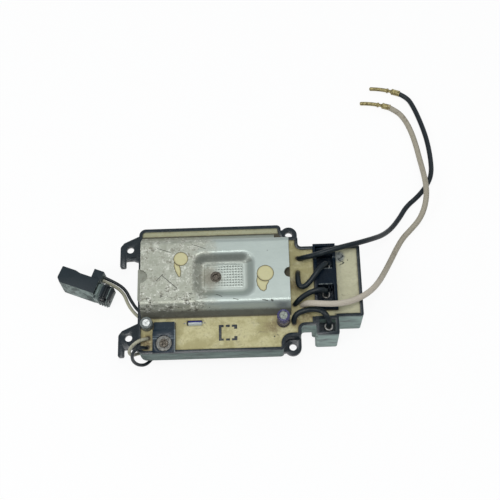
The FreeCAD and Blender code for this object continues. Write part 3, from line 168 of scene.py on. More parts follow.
class Finish:
    """A material made of expressions on fields, in millimetres of the object's own frame."""

    def __init__(self, name, **constants):
        self.material = bpy.data.materials.new(name)
        self.material.use_nodes = True
        self.tree = self.material.node_tree
        self.tree.nodes.clear()
        output = self.tree.nodes.new("ShaderNodeOutputMaterial")
        self.skin = self.tree.nodes.new("ShaderNodeBsdfPrincipled")
        self.tree.links.new(self.skin.outputs[0], output.inputs["Surface"])
        for socket, value in constants.items():
            self.skin.inputs[socket.replace("_", " ")].default_value = value
        metres = self.node("ShaderNodeTexCoord", out="Object")
        self.place = self.node("ShaderNodeVectorMath", {"operation": "SCALE"},
                               {0: metres, "Scale": 1000.0})
        self.x, self.y, self.z = self.parts(self.place)

    def node(self, kind, settings=None, sockets=None, out=0):
        made = self.tree.nodes.new(kind)
        for key, value in (settings or {}).items():
            setattr(made, key, value)
        for key, value in (sockets or {}).items():
            if isinstance(value, Field):
                self.tree.links.new(value.socket, made.inputs[key])
            else:
                wide = made.inputs[key].type == "RGBA" and len(value) == 3
                made.inputs[key].default_value = tuple(value) + (1.0,) if wide else value
        return Field(self, made.outputs[out])

    def parts(self, vector):
        split = vector.finish.node("ShaderNodeSeparateXYZ", None, {0: vector})
        owner = split.socket.node
        return [Field(self, owner.outputs[i]) for i in range(3)]

    def noise(self, size, detail=3.0, rough=0.55, stretch=(1, 1, 1), shift=0.0):
        """Cloudy value from 0 to 1 whose lumps are about size millimetres across."""
        spot = self.node("ShaderNodeMapping", None, {
            "Vector": self.place, "Location": (shift, shift * 0.7, shift * 0.3),
            "Scale": tuple(1.0 / (size * s) for s in stretch)})
        return self.node("ShaderNodeTexNoise", None, {
            "Vector": spot, "Scale": 1.0, "Detail": detail, "Roughness": rough})

    def cells(self, size, shift=0.0):
        """Distance to the nearest of many points that lie about size millimetres apart."""
        spot = self.node("ShaderNodeMapping", None, {
            "Vector": self.place, "Location": (shift, -shift, shift * 0.5),
            "Scale": (1.0 / size,) * 3})
        return self.node("ShaderNodeTexVoronoi", None, {"Vector": spot, "Scale": 1.0}, "Distance")

    def rise(self, value, low, high):
        """Smooth step: 0 below low, 1 above high, and the other way round if low is above high."""
        return self.node("ShaderNodeMapRange", {"interpolation_type": "SMOOTHSTEP"}, {
            "Value": value, "From Min": low, "From Max": high})

    def band(self, value, low, high, soft):
        return self.rise(value, low - soft, low) * self.rise(value, high + soft, high)

    def size(self, value):
        return self.node("ShaderNodeMath", {"operation": "ABSOLUTE"}, {0: value})

    def more(self, one, other):
        return self.node("ShaderNodeMath", {"operation": "MAXIMUM"}, {0: one, 1: other})

    def away(self, point):
        """Distance in millimetres from a point; a flat point leaves out the height."""
        here = self.place
        if len(point) == 2:
            here = self.node("ShaderNodeVectorMath", {"operation": "MULTIPLY"},
                             {0: here, 1: (1, 1, 0)})
            point = tuple(point) + (0.0,)
        return self.node("ShaderNodeVectorMath", {"operation": "DISTANCE"},
                         {0: here, 1: point}, "Value")

    def mix(self, first, second, factor):
        return self.node("ShaderNodeMix", {"data_type": "RGBA", "clamp_factor": True},
                         {0: factor, 6: first, 7: second}, 2)

    def over(self, tone, *coats):
        """The tone with each (colour, cover) coat laid over it in turn."""
        for colour, cover in coats:
            tone = self.mix(tone, colour, cover)
        return tone

    def stroke(self, start, end, width):
        """1 within width of the flat segment from start to end, fading over as much again."""
        run = np.hypot(end[0] - start[0], end[1] - start[1])
        cx, cy = (end[0] - start[0]) / run, (end[1] - start[1]) / run
        ahead = (self.x - start[0]) * cx + (self.y - start[1]) * cy
        beside = (self.y - start[1]) * cx - (self.x - start[0]) * cy
        return self.band(ahead, 0.0, run, 0.4) * self.rise(self.size(beside), 2 * width, width)

    def facing(self, axis):
        normal = self.node("ShaderNodeTexCoord", out="Normal")
        return self.parts(normal)[axis]

    def own(self, name):
        return self.node("ShaderNodeAttribute", {"attribute_name": name}, None, "Fac")

    def bump(self, height, depth, under=None):
        """Normal of a relief whose height from 0 to 1 stands for depth millimetres."""
        sockets = {"Height": height, "Strength": 1.0, "Distance": depth * MM}
        if under is not None:
            sockets["Normal"] = under
        return self.node("ShaderNodeBump", None, sockets)

    def wear(self, **fields):
        for socket, value in fields.items():
            target = self.skin.inputs[socket.replace("_", " ")]
            self.tree.links.new(value.socket, target)
        return self.material


def tray_plastic():
    """Glossy blue-black moulding whose upright outer walls carry a grey layer, partly dust and
    partly painted reflection.
    """
    f = Finish("tray_plastic", IOR=1.47, Specular_IOR_Level=0.34)
    # painted reflection and dust: a pale layer on upright faces only, kept off the walls of the lug
    # notches
    upright = f.rise(f.size(f.facing(2)), 0.75, 0.35)
    on_walls = f.rise(f.x, -66.5, -65.1)
    for x, y in ((33.75, 39.45), (33.75, -38.45)):
        on_walls = on_walls * f.rise(f.away((x, y)), 6.6, 8.0)
    cloud = f.noise(7.0, 4.0, 0.6, (2.2, 1, 0.8))
    streaks = f.noise(2.0, 3.0, 0.6, (9, 9, 0.45), 6.0)
    grit = f.noise(0.9, 3.0, 0.6, shift=5.0)
    lip = f.band(f.z, 26.6, 27.2, 0.25) + f.rise(f.z, 28.0, 28.35)
    dust_and_sheen = upright * on_walls * f.rise(cloud, 0.22, 0.5) * (1.0 - lip * 0.8)
    film_and_sheen = f.mix((0.10, 0.145, 0.13), (0.22, 0.285, 0.26),
                 f.rise(cloud + grit * 0.3 + streaks * 0.4, 0.6, 1.15))
    # painted highlight: the pocket's front walls get a paler layer than the other walls
    pocket = f.rise(f.x, 35.0, 38.0) * f.rise(f.y, -14.0, -17.0)
    film_and_sheen = f.mix(film_and_sheen, f.mix((0.26, 0.355, 0.325), (0.42, 0.53, 0.49), cloud), pocket * 0.9)
    film_and_sheen = f.mix(film_and_sheen, (0.08, 0.08, 0.065), f.rise(f.noise(3.0, 4.0, 0.7, shift=9.0), 0.60, 0.72))
    plain = f.mix((0.005, 0.010, 0.014), (0.018, 0.027, 0.034), f.noise(5.0, 4.0, 0.6, shift=2.0))
    specks = f.rise(f.cells(1.9, shift=4.0), 0.10, 0.05) * f.rise(grit, 0.48, 0.6)
    scuffs = f.rise(f.noise(2.4, 5.0, 0.7, (3, 1, 1), 12.0), 0.60, 0.74)
    plain = f.mix(plain, (0.13, 0.135, 0.12), f.more(specks * 0.6, scuffs * 0.5))
    relief = f.bump(f.noise(0.35, 2.0, 0.5), 0.012, f.bump(cloud, 0.08))
    return f.wear(Base_Color=f.mix(plain, film_and_sheen, dust_and_sheen * 0.93),
                  Roughness=0.20 + grit * 0.16 + dust_and_sheen * 0.42 + scuffs * 0.2, Normal=relief)


def bar_black():
    """Glossier black of the connector bar: worn pale edges, lint in the front cell."""
    f = Finish("bar_black", IOR=1.47, Specular_IOR_Level=0.15)
    cloud = f.noise(3.0, 5.0, 0.65)
    grain = f.noise(0.7, 4.0, 0.65, shift=3.0)
    tone = f.mix((0.0, 0.004, 0.010), (0.003, 0.011, 0.022), cloud)
    ridge = f.rise(f.z, 30.55, 30.8) * 0.75
    ledge = f.band(f.y, 17.8, 18.6, 0.3) * f.rise(f.z, 28.0, 29.5) * 0.8
    worn = f.rise(grain + cloud * 0.4, 0.55, 0.85)
    tone = f.mix(tone, (0.21, 0.24, 0.24), f.more(ridge, ledge) * worn)
    lint = f.rise(f.z, 29.6, 27.5) * f.rise(f.noise(1.6, 6.0, 0.75, shift=7.0), 0.52, 0.66)
    tone = f.mix(tone, (0.13, 0.15, 0.15), lint * 0.75)
    settled = f.rise(cloud + grain * 0.3, 0.78, 1.0) * 0.16
    tone = f.mix(tone, (0.10, 0.12, 0.12), settled)
    return f.wear(Base_Color=tone, Roughness=0.24 + worn * 0.14 + lint * 0.4,
                  Normal=f.bump(grain, 0.02))


def resin(name="resin", clean=False):
    """Cream casting resin, darker near its walls and edges, with specks, stains and a slow swell.
    """
    f = Finish(name, IOR=1.5, Specular_IOR_Level=0.4)
    edge = f.own("edge")
    broad = f.noise(16.0, 4.0, 0.55)
    patchy = f.noise(7.0, 5.0, 0.65, shift=4.0)
    fine = f.noise(1.6, 5.0, 0.65, shift=3.0)
    relief = f.bump(fine, 0.03, f.bump(broad, 0.5))
    if clean:
        tone = f.mix((0.50, 0.465, 0.225), (0.60, 0.57, 0.35), broad * 0.6 + fine * 0.5)
        tone = f.mix(tone, (0.36, 0.31, 0.15), f.rise(edge, 1.3, 0.3) * 0.7)
        tone = f.mix(tone, (0.045, 0.04, 0.02), f.rise(edge, 0.42, 0.25) * 0.9)
        return f.wear(Base_Color=tone, Roughness=0.45 + fine * 0.2, Normal=relief)
    base = f.mix((0.385, 0.345, 0.165), (0.54, 0.50, 0.275), f.rise(broad + patchy, 0.85, 1.15))
    base = f.over(base,
                  ((0.62, 0.585, 0.40), f.rise(patchy + fine * 0.5, 0.80, 1.0) * 0.6),
                  ((0.32, 0.33, 0.225), f.rise(f.y, 31.0, 37.0) * 0.8),
                  ((0.30, 0.26, 0.125), f.rise(fine + patchy * 0.35, 0.66, 0.90) * 0.65),
                  ((0.46, 0.47, 0.38), f.rise(f.x + patchy * 8.0, 60.0, 70.0) * 0.5))
    # darker near walls and parts: grime, and painted shade along where the resin meets them
    edge_grime_and_shade = f.rise(edge + fine * 2.8 + patchy * 1.6, 3.6, 1.3)
    tone = f.mix(base, (0.135, 0.115, 0.062), edge_grime_and_shade * 0.8)
    brown = f.rise(f.away((-60.0, -36.0)) + broad * 10.0, 14.0, 5.5)
    for point, cloud, outer, inner, share in (
            ((22.0, -28.0), broad * 12.0, 14.0, 6.5, 0.75),
            ((35.5, -24.0), patchy * 12.0, 12.5, 6.5, 0.9),
            ((34.8, 2.0), patchy * 14.0, 14.0, 8.0, 0.75),
            ((42.5, -21.0), patchy * 9.0, 11.0, 5.5, 0.8)):
        brown = f.more(brown, f.rise(f.away(point) + cloud, outer, inner) * share)
    tone = f.mix(tone, (0.155, 0.10, 0.045), brown * f.rise(fine, 0.30, 0.56) * 0.85)
    smears = f.rise(f.noise(5.0, 5.0, 0.7, (2.5, 0.8, 1), 16.0), 0.58, 0.72)
    tone = f.mix(tone, (0.17, 0.145, 0.08), smears * 0.55)
    specks = f.rise(f.cells(3.1), 0.11, 0.05) * f.rise(f.noise(6.0, shift=7.0), 0.42, 0.56)
    dots = (f.rise(f.cells(1.3, shift=11.0), 0.15, 0.07)
            * f.rise(f.noise(4.0, shift=1.0), 0.50, 0.62))
    tone = f.mix(tone, (0.035, 0.03, 0.02), f.more(specks, dots) * 0.85)
    dust = f.rise(f.away((66.0, 19.4)) + fine * 3.5, 6.6, 4.2) * f.rise(f.x, 63.0, 64.0)
    tone = f.mix(tone, f.mix((0.10, 0.115, 0.115), (0.27, 0.29, 0.28), f.rise(fine, 0.35, 0.7)),
                 dust * 0.95)
    curl = f.size(f.x - 66.6 - f.node("ShaderNodeMath", {"operation": "SINE"},
                                      {0: f.y * 1.35}) * 1.5 - fine * 1.2)
    curl = f.rise(curl, 0.75, 0.35) * f.band(f.y, 13.6, 20.5, 0.5)
    tone = f.mix(tone, (0.012, 0.014, 0.016), curl * 0.95)
    for x, y, reach in ((71.6, 16.9, 0.55), (68.3, 14.4, 0.45),
                        (22.0, -33.5, 0.7), (24.2, -32.6, 0.5)):
        tone = f.mix(tone, (0.03, 0.028, 0.02), f.rise(f.away((x, y)), reach, reach * 0.5) * 0.9)
    tone = f.mix(tone, (0.035, 0.030, 0.022), f.rise(edge, 0.42, 0.12) * 0.85)
    return f.wear(Base_Color=tone, Roughness=0.46 + fine * 0.22 + edge_grime_and_shade * 0.1, Normal=relief)


def plate_metal():
    """Pressed aluminium: satin and blue-grey at the right, stained and scratched at the left."""
    f = Finish("plate_metal")
    broad = f.noise(13.0, 4.0, 0.6)
    patchy = f.noise(5.5, 5.0, 0.68, shift=9.0)
    fine = f.noise(1.3, 6.0, 0.72, shift=2.0)
    grain = f.noise(0.5, 3.0, 0.6, (14, 1, 1), 5.0)
    pit = f.own("pit")
    left = f.rise(f.x + broad * 30.0, 6.0, -12.0)
    lower = left * f.rise(f.y + broad * 8.0, 8.0, -8.0)
    metal = f.mix((0.37, 0.425, 0.395), (0.47, 0.52, 0.485), broad * 0.5 + grain * 0.5)
    dulled = f.mix((0.33, 0.335, 0.265), (0.53, 0.54, 0.455), f.rise(patchy, 0.35, 0.65))
    metal = f.mix(metal, dulled, left * 0.85)
    stain = left * f.rise(patchy + fine * 0.45, 0.68, 0.90)
    tone = f.mix(metal, f.mix((0.12, 0.115, 0.085), (0.27, 0.26, 0.20), fine), stain * 0.85)
    # pale flecks at the left: pale deposit, and painted glints
    flecks_and_glints = f.noise(2.6, 6.0, 0.75, shift=14.0) + patchy * 0.3
    white = (left * 0.55 + lower * 0.45) * f.rise(flecks_and_glints, 0.68, 0.77)
    tone = f.mix(tone, (0.80, 0.81, 0.73), white * 0.95)
    marks = f.noise(1.8, 6.0, 0.78, (1.8, 0.8, 1), 21.0) + lower * 0.05 + patchy * 0.25
    marks = f.rise(marks, 0.70, 0.79)
    dark = (left * 0.45 + lower * 0.55) * marks
    tone = f.mix(tone, (0.04, 0.037, 0.028), dark * 0.95)
    in_dish = (f.rise(f.z, 36.9, 35.2) * f.band(f.x, -33.0, 14.0, 1.0)
               * f.band(f.y, -11.0, 24.0, 1.0))
    grime = f.rise(f.away((-17.5, 5.0)) + fine * 9.0, 15.0, 6.0) * in_dish
    tone = f.mix(tone, f.mix((0.10, 0.085, 0.055), (0.25, 0.225, 0.17), fine), grime * 0.8)
    for start, end, width in (
            ((-49.4, 6.6), (-39.6, -2.4), 0.17), ((-53.0, 3.2), (-49.0, 7.4), 0.15),
            ((15.0, -11.6), (18.4, -12.4), 0.2), ((20.6, -11.9), (21.8, -12.5), 0.4),
            ((-3.6, -10.4), (-0.4, -11.2), 0.18), ((-14.6, -6.6), (-10.8, -8.8), 0.16),
            ((-30.0, 27.6), (-21.0, 24.2), 0.12), ((-44.0, 22.4), (-52.6, 25.6), 0.14)):
        tone = f.mix(tone, (0.05, 0.05, 0.045), f.stroke(start, end, width) * 0.85)
    # painted shade and grime: the front flange below the bend is painted dark, standing for the
    # dark surroundings it reflects
    front_flange_grime_and_shade = f.rise(f.z + fine * 1.8, 34.6, 32.0) * f.rise(f.y, -13.0, -15.0)
    tone = f.mix(tone, f.mix((0.045, 0.045, 0.035), (0.14, 0.14, 0.11), patchy), front_flange_grime_and_shade * 0.92)
    shade = in_dish * f.band(f.y, 15.6, 20.8, 1.2) * f.rise(f.x, -34.0, -30.0)
    bright = f.rise(f.z, 34.0, 33.2) * in_dish * f.rise(f.x, -20.0, -8.0)
    tone = f.over(tone,
                  ((0.10, 0.09, 0.06), f.rise(f.z + fine * 2.0, 30.0, 28.4) * 0.8),
                  ((0.56, 0.60, 0.54), bright * 0.55),
                  ((0.17, 0.18, 0.155), shade * (0.35 + fine * 0.5)),
                  ((0.12, 0.125, 0.105), pit * 0.85))
    nicks = f.rise(f.cells(5.5, shift=3.3), 0.075, 0.05) * f.rise(broad, 0.5, 0.56)
    tone = f.mix(tone, (0.03, 0.03, 0.03), nicks * 0.9)
    dull = f.more(f.more(stain, front_flange_grime_and_shade), f.more(white, dark))
    relief = f.bump(fine, 0.03, f.bump(broad, 0.2, f.bump(grain, 0.006)))
    return f.wear(Base_Color=tone, Metallic=0.72 - dull * 0.5 - grime * 0.25,
                  Roughness=0.40 + fine * 0.10 + dull * 0.25, Normal=relief)


def middle(node):
    low, high = np.array(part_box(node)) * 1000.0
    return (low + high) / 2, low, high


def worn_metal(name, light, dark, metallic, rough, size=1.2):
    """Bare metal with darker tarnish in soft patches."""
    f = Finish(name)
    patch = f.noise(size, 5.0, 0.65)
    tone = f.mix(light, dark, f.rise(patch, 0.38, 0.66))
    return f.wear(Base_Color=tone, Metallic=metallic - f.rise(patch, 0.5, 0.7) * 0.25,
                  Roughness=rough + patch * 0.2, Normal=f.bump(f.noise(size * 0.3, 3.0), 0.02))


def moulded(name, dark, pale, rough=0.45, dust=(0.22, 0.22, 0.19), cover=0.5):
    """Moulded plastic with a fine skin and dust that settles in patches."""
    f = Finish(name, IOR=1.47, Specular_IOR_Level=0.38)
    cloud = f.noise(3.5, 5.0, 0.65)
    tone = f.mix(dark, pale, f.noise(1.1, 4.0, 0.6, shift=3.0))
    settled = f.rise(cloud, 0.52, 0.78) * cover
    return f.wear(Base_Color=f.mix(tone, dust, settled), Roughness=rough + settled * 0.4,
                  Normal=f.bump(f.noise(0.3, 2.0), 0.012))


def power_black():
    """Moulding of the power device: blue-black, with dust in patches, and pale lines on its step
    and along its right side that are partly dust and partly painted highlight.
    """
    f = Finish("power_black", IOR=1.47, Specular_IOR_Level=0.36)
    _, low, high = middle("power_block")
    cloud = f.noise(3.0, 5.0, 0.65)
    grain = f.noise(0.8, 4.0, 0.65, shift=3.0)
    tone = f.mix((0.006, 0.014, 0.024), (0.022, 0.038, 0.054), cloud)
    # painted highlight and dust: a pale strip along the right side
    side = f.rise(f.x, high[0] - 0.85, high[0] - 0.45)
    tone = f.mix(tone, (0.20, 0.235, 0.24), side * f.rise(grain, 0.2, 0.55) * 0.9)
    # painted highlight and dust: pale lines along the step's edges
    line = f.band(f.y, -33.6, -33.1, 0.3) + f.band(f.y, -32.1, -31.8, 0.25) * 0.6
    tone = f.mix(tone, (0.16, 0.20, 0.22), line * f.rise(grain, 0.25, 0.5) * 0.7)
    settled = f.rise(cloud + grain * 0.3, 0.72, 0.95) * 0.5
    tone = f.mix(tone, (0.13, 0.14, 0.13), settled)
    return f.wear(Base_Color=tone, Roughness=0.34 + settled * 0.4, Normal=f.bump(grain, 0.02))


def diode_coat():
    """Glass body: a blue band on its far side, a painted grey-white highlight on its near side,
    dark at its left end.
    """
    f = Finish("diode_coat", IOR=1.5)
    at, low, high = middle("diode_body")
    across = f.y - float(at[1])
    # painted highlight: the grey-white that stays on the near half
    tone = f.mix((0.33, 0.37, 0.36), (0.50, 0.54, 0.52), f.noise(1.2))
    tone = f.over(tone,
                  ((0.018, 0.020, 0.16), f.rise(across, -0.25, 0.25)),
                  ((0.008, 0.008, 0.03), f.rise(across, 0.95, 1.3)),
                  ((0.012, 0.014, 0.014), f.rise(f.x, low[0] + 1.5, low[0] + 1.0)))
    return f.wear(Base_Color=tone, Roughness=f.noise(1.5) * 0.2 + 0.18,
                  Normal=f.bump(f.noise(0.9), 0.02))


PLUG_CORNER = (-124.65, 11.7)
PLUG_TURN = radians(21.0)
DISH = (-9.65, 6.5)
DISH_FLOOR = 32.5


def plug_plastic():
    """Slate moulding whose front-facing walls carry a pale layer, partly dust and partly painted
    reflection.
    """
    f = Finish("plug_plastic", IOR=1.47, Specular_IOR_Level=0.34)
    cloud = f.noise(4.0, 4.0, 0.6)
    grain = f.noise(0.6, 3.0, 0.6, shift=4.0)
    tone = f.mix((0.006, 0.013, 0.019), (0.014, 0.025, 0.032), cloud)
    # painted reflection and dust: faces turned to the front get a pale layer
    front = f.rise(f.facing(1), -0.10, -0.22) * f.rise(f.facing(2), 0.985, 0.96)
    film_and_sheen = f.mix((0.035, 0.052, 0.05), (0.30, 0.37, 0.345),
                 f.rise(cloud + grain * 0.4, 0.5, 0.95))
    bare = f.noise(6.0, 4.0, 0.6, (3, 1, 1), 8.0)
    tone = f.mix(tone, film_and_sheen, front * f.rise(bare, 0.25, 0.45) * 0.9)
    dx, dy = f.x - PLUG_CORNER[0], f.y - PLUG_CORNER[1]
    run = dx * cos(PLUG_TURN) - dy * sin(PLUG_TURN)
    across = dx * sin(PLUG_TURN) + dy * cos(PLUG_TURN)
    rear = f.rise(across, 12.0, 11.4) * f.rise(run, 27.6, 27.9) * f.rise(f.z, 8.0, 9.5)
    tone = f.mix(tone, (0.003, 0.007, 0.010), rear * f.rise(run, 31.6, 33.4))
    rib = f.band(run, 29.0, 30.6, 0.9) * 0.8 + f.band(run, 36.9, 37.2, 0.25)
    tone = f.mix(tone, (0.15, 0.195, 0.18), rear * rib * f.rise(grain, 0.15, 0.5))
    return f.wear(Base_Color=tone, Roughness=0.40 + cloud * 0.15, Normal=f.bump(grain, 0.015))


def sleeve(name, deep, light, wear=0.4):
    """Shrink sleeve: a thin glossy skin, scuffed pale along its lip."""
    f = Finish(name, IOR=1.5)
    scuff = f.rise(f.noise(1.6, 5.0, 0.7), 0.52, 0.68) * wear
    return f.wear(Base_Color=f.mix(f.mix(deep, light, f.noise(2.4)), (0.42, 0.42, 0.42), scuff),
                  Roughness=0.25 + scuff * 0.5, Normal=f.bump(f.noise(1.4), 0.05))


def insulation(name, base, shade, marks=(), rough=0.38, grime=(0.05, 0.045, 0.035), cover=0.3):
    """Lead insulation, dirty in patches; marks are dark places as (point, reach, colour)."""
    f = Finish(name, IOR=1.48, Specular_IOR_Level=0.36)
    patch = f.noise(4.0, 4.0, 0.65)
    fine = f.noise(0.8, 4.0, 0.6, shift=6.0)
    tone = f.mix(base, shade, patch)
    tone = f.mix(tone, grime, f.rise(patch + fine * 0.5, 0.78, 1.0) * cover)
    if marks:
        tone = f.mix(f.mix((0.34, 0.29, 0.22), (0.56, 0.51, 0.43), fine + patch * 0.3), tone,
                     f.rise(f.x + patch * 20.0, 92.0, 112.0) * 0.8)
    for point, reach, colour in marks:
        near = f.rise(f.away(point) + fine * reach * 0.9, reach * 1.5, reach * 0.7)
        tone = f.mix(tone, colour, near)
    return f.wear(Base_Color=tone, Roughness=rough + patch * 0.15, Normal=f.bump(fine, 0.03))


def laminate():
    f = Finish("board")
    weave = f.noise(0.5, 2.0, 0.5, (6, 1, 1)) + f.noise(0.5, 2.0, 0.5, (1, 6, 1))
    return f.wear(Base_Color=f.mix((0.07, 0.15, 0.06), (0.14, 0.24, 0.11), weave * 0.5),
                  Roughness=0.4 + weave * 0.1, Normal=f.bump(weave, 0.02))


def winding(name, light, dark):
    """Fine enamelled wire, wound round the Z axis in close turns."""
    f = Finish(name)
    turns = f.node("ShaderNodeMath", {"operation": "SINE"}, {0: f.z * 15.0 + f.y * 15.0})
    return f.wear(Base_Color=f.mix(dark, light, f.rise(turns, -0.6, 0.5)),
                  Metallic=f.rise(turns, -1.0, 1.0) * 0.5 + 0.3,
                  Roughness=f.noise(2.0) * 0.2 + 0.3, Normal=f.bump(turns, 0.05))


finishes = {
    "tray_plastic": tray_plastic(),
    "bar_black": bar_black(),
    "resin": resin(),
    "resin_clean": resin("resin_clean", True),
    "plate_metal": plate_metal(),
    "power_black": power_black(),
    "diode_glass": diode_coat(),
    "board": laminate(),
    "plug_plastic": plug_plastic(),
}
for make, rows in (
    (moulded, {
        "pad_grey": ((0.20, 0.21, 0.17), (0.31, 0.32, 0.27),
            0.7, (0.12, 0.10, 0.07), 0.6),
        "component_black": ((0.008, 0.012, 0.018), (0.03, 0.037, 0.044),
            0.42),
    }),
    (worn_metal, {
        "steel": ((0.42, 0.42, 0.40), (0.16, 0.15, 0.13), 0.8, 0.36),
        "tin_dull": ((0.26, 0.26, 0.24), (0.10, 0.095, 0.085), 0.6, 0.42),
        "steel_dark": ((0.21, 0.185, 0.15), (0.05, 0.042, 0.034),
            0.65, 0.42, 0.9),
        "can_metal": ((0.80, 0.82, 0.80), (0.48, 0.50, 0.48), 0.6, 0.38, 2.2),
        "can_dull": ((0.33, 0.36, 0.32), (0.16, 0.17, 0.15), 0.55, 0.42, 1.2),
        "ferrite": ((0.10, 0.10, 0.10), (0.04, 0.04, 0.04), 0.2, 0.5, 2.0),
        "brass": ((0.40, 0.345, 0.165), (0.15, 0.115, 0.045), 0.75, 0.36, 1.6),
    }),
    (sleeve, {
        "sleeve_grey": ((0.075, 0.09, 0.088), (0.17, 0.195, 0.185), 0.3),
        "sleeve_violet": ((0.020, 0.016, 0.085), (0.055, 0.05, 0.15), 0.3),
    }),
    (winding, {
        "copper": ((0.75, 0.38, 0.14), (0.25, 0.10, 0.04)),
    }),
    (insulation, {
        "lead_black": ((0.002, 0.007, 0.011), (0.009, 0.016, 0.021), (), 0.33,
            (0.06, 0.075, 0.072), 0.18),
        "lead_white": ((0.26, 0.235, 0.175), (0.40, 0.37, 0.29), [
            ((87.0, -3.2, 24.5), 2.6, (0.050, 0.036, 0.022)),
            ((84.2, -5.4, 28.0), 1.7, (0.14, 0.10, 0.06)),
            ((94.6, 8.4, 16.6), 1.2, (0.085, 0.07, 0.045)),
            ((92.4, 4.4, 19.6), 1.0, (0.075, 0.06, 0.04)),
            ((113.4, 41.9, 3.0), 1.3, (0.06, 0.055, 0.04)),
            ], 0.45, (0.11, 0.085, 0.055), 0.8),
        "lead_cream": ((0.33, 0.32, 0.235), (0.45, 0.44, 0.335), (), 0.45,
            (0.12, 0.11, 0.075), 0.6),
    }),
):
    for name, facts in rows.items():
        finishes[name] = make(name, *facts)
for name, node in nodes.items():
    node.data.materials.clear()
    node.data.materials.append(finishes[node_slot[name]])


# ---- making pieces
def finish_piece(piece, slot, body="module", stands_for=(), coat=None):
    piece.data.materials.clear()
    piece.data.materials.append(finishes[coat or slot])
    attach(piece, body)
    if stands_for:
        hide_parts(*stands_for)
    return piece


def mesh_piece(name, points, faces, slot, body="module", stands_for=(), smooth=True, coat=None):
    """A piece from points in millimetres and faces as rows of point numbers."""
    mesh = bpy.data.meshes.new(name)
    mesh.from_pydata((np.asarray(points, float) * MM).tolist(), [], faces)
    mesh.validate()
    mesh.shade_smooth() if smooth else mesh.shade_flat()
    piece = bpy.data.objects.new(name, mesh)
    scene.collection.objects.link(piece)
    return finish_piece(piece, slot, body, stands_for, coat)


def quads(rows, columns, round_rows=False, round_columns=False, level=False):
    """Faces of a grid of points, row by row; a round direction joins its end to its start.

    On a level grid, whose rows run along x and columns along y, the faces look up.
    """
    a = np.arange(rows if round_rows else rows - 1)[:, None]
    b = np.arange(columns if round_columns else columns - 1)[None, :]
    a1, b1 = (a + 1) % rows, (b + 1) % columns
    corners = (a * columns + b, a * columns + b1, a1 * columns + b1, a1 * columns + b)
    faces = np.stack(np.broadcast_arrays(*corners), -1).reshape(-1, 4)
    return faces[:, ::-1] if level else faces


def spun(profile, centre, segments=64, relief=None):
    """Points and faces of a profile of (radius, height) pairs carried round an upright axis.

    A point is centre + (r cos t, r sin t, h); relief(r, t, h) gives a new (r, h).  The first
    and last pairs have radius 0 or a hair, so both poles are closed.
    """
    r, h = np.array(profile, float).T[:, :, None]
    t = np.linspace(0, TAU, segments, endpoint=False)[None, :]
    r, h = r + 0 * t, h + 0 * t
    if relief is not None:
        r, h = relief(r, t, h)
    points = np.stack([centre[0] + r * np.cos(t), centre[1] + r * np.sin(t), centre[2] + h], -1)
    faces = quads(len(profile), segments, False, True)
    ends = [list(range(segments))[::-1],
            list(range((len(profile) - 1) * segments, len(profile) * segments))]
    return points.reshape(-1, 3), faces.tolist() + ends


def along(line, section):
    """Points and faces of a section carried along a line, which keeps its side level.

    line is (n, 3); section(s) gives (m, 2) offsets to the line's level side and to its upper
    side, where s runs from 0 to 1 by length.  Both ends are closed.
    """
    line = np.asarray(line, float)
    step = np.gradient(line, axis=0)
    step /= np.linalg.norm(step, axis=1)[:, None]
    level = np.cross((0, 0, 1), step)
    level /= np.linalg.norm(level, axis=1)[:, None]
    upper = np.cross(step, level)
    run = np.concatenate([[0], np.cumsum(np.linalg.norm(np.diff(line, axis=0), axis=1))])
    rings = np.array([section(s) for s in run / run[-1]])
    points = (line[:, None] + level[:, None] * rings[..., :1] + upper[:, None] * rings[..., 1:])
    n, m = rings.shape[:2]
    faces = quads(n, m, False, True)[:, ::-1].tolist()
    return points.reshape(-1, 3), faces + [list(range(m)), list(range((n - 1) * m, n * m))[::-1]]


def sheet_piece(name, x, y, z, slot, keep=None, mark_name=None, mark_value=None, **facts):
    """A piece from a level grid of heights; keep says which of its points stay.

    The finish reads each point's mark_value by the name mark_name.
    """
    faces = quads(*x.shape, level=True)
    if keep is not None:
        faces = faces[keep.ravel()[faces].all(1)]
    used, faces = np.unique(faces, return_inverse=True)
    points = np.stack([x, y, z], -1).reshape(-1, 3)[used]
    piece = mesh_piece(name, points, faces.reshape(-1, 4).tolist(), slot, **facts)
    if mark_name:
        kept = piece.data.attributes.new(mark_name, "FLOAT", "POINT")
        kept.data.foreach_set("value", mark_value.ravel()[used].astype(np.float32))
    return piece


def softened(node, width, angle=32.0, body="module", coat=None):
    """The node's own solid with every edge sharper than angle rounded over by width."""
    import bmesh
    work = bmesh.new()
    work.from_mesh(nodes[node].data)
    bmesh.ops.remove_doubles(work, verts=work.verts, dist=2e-6)
    bmesh.ops.dissolve_limit(work, angle_limit=radians(0.8), verts=work.verts, edges=work.edges)
    mesh = bpy.data.meshes.new("soft_" + node)
    work.to_mesh(mesh)
    work.free()
    mesh.shade_smooth()
    piece = bpy.data.objects.new("soft_" + node, mesh)
    scene.collection.objects.link(piece)
    edge = piece.modifiers.new("edges", "BEVEL")
    edge.width, edge.segments = width * MM, 2
    edge.limit_method, edge.angle_limit = "ANGLE", radians(angle)
    edge.harden_normals = True
    return finish_piece(piece, node_slot[node], body, (node,), coat)


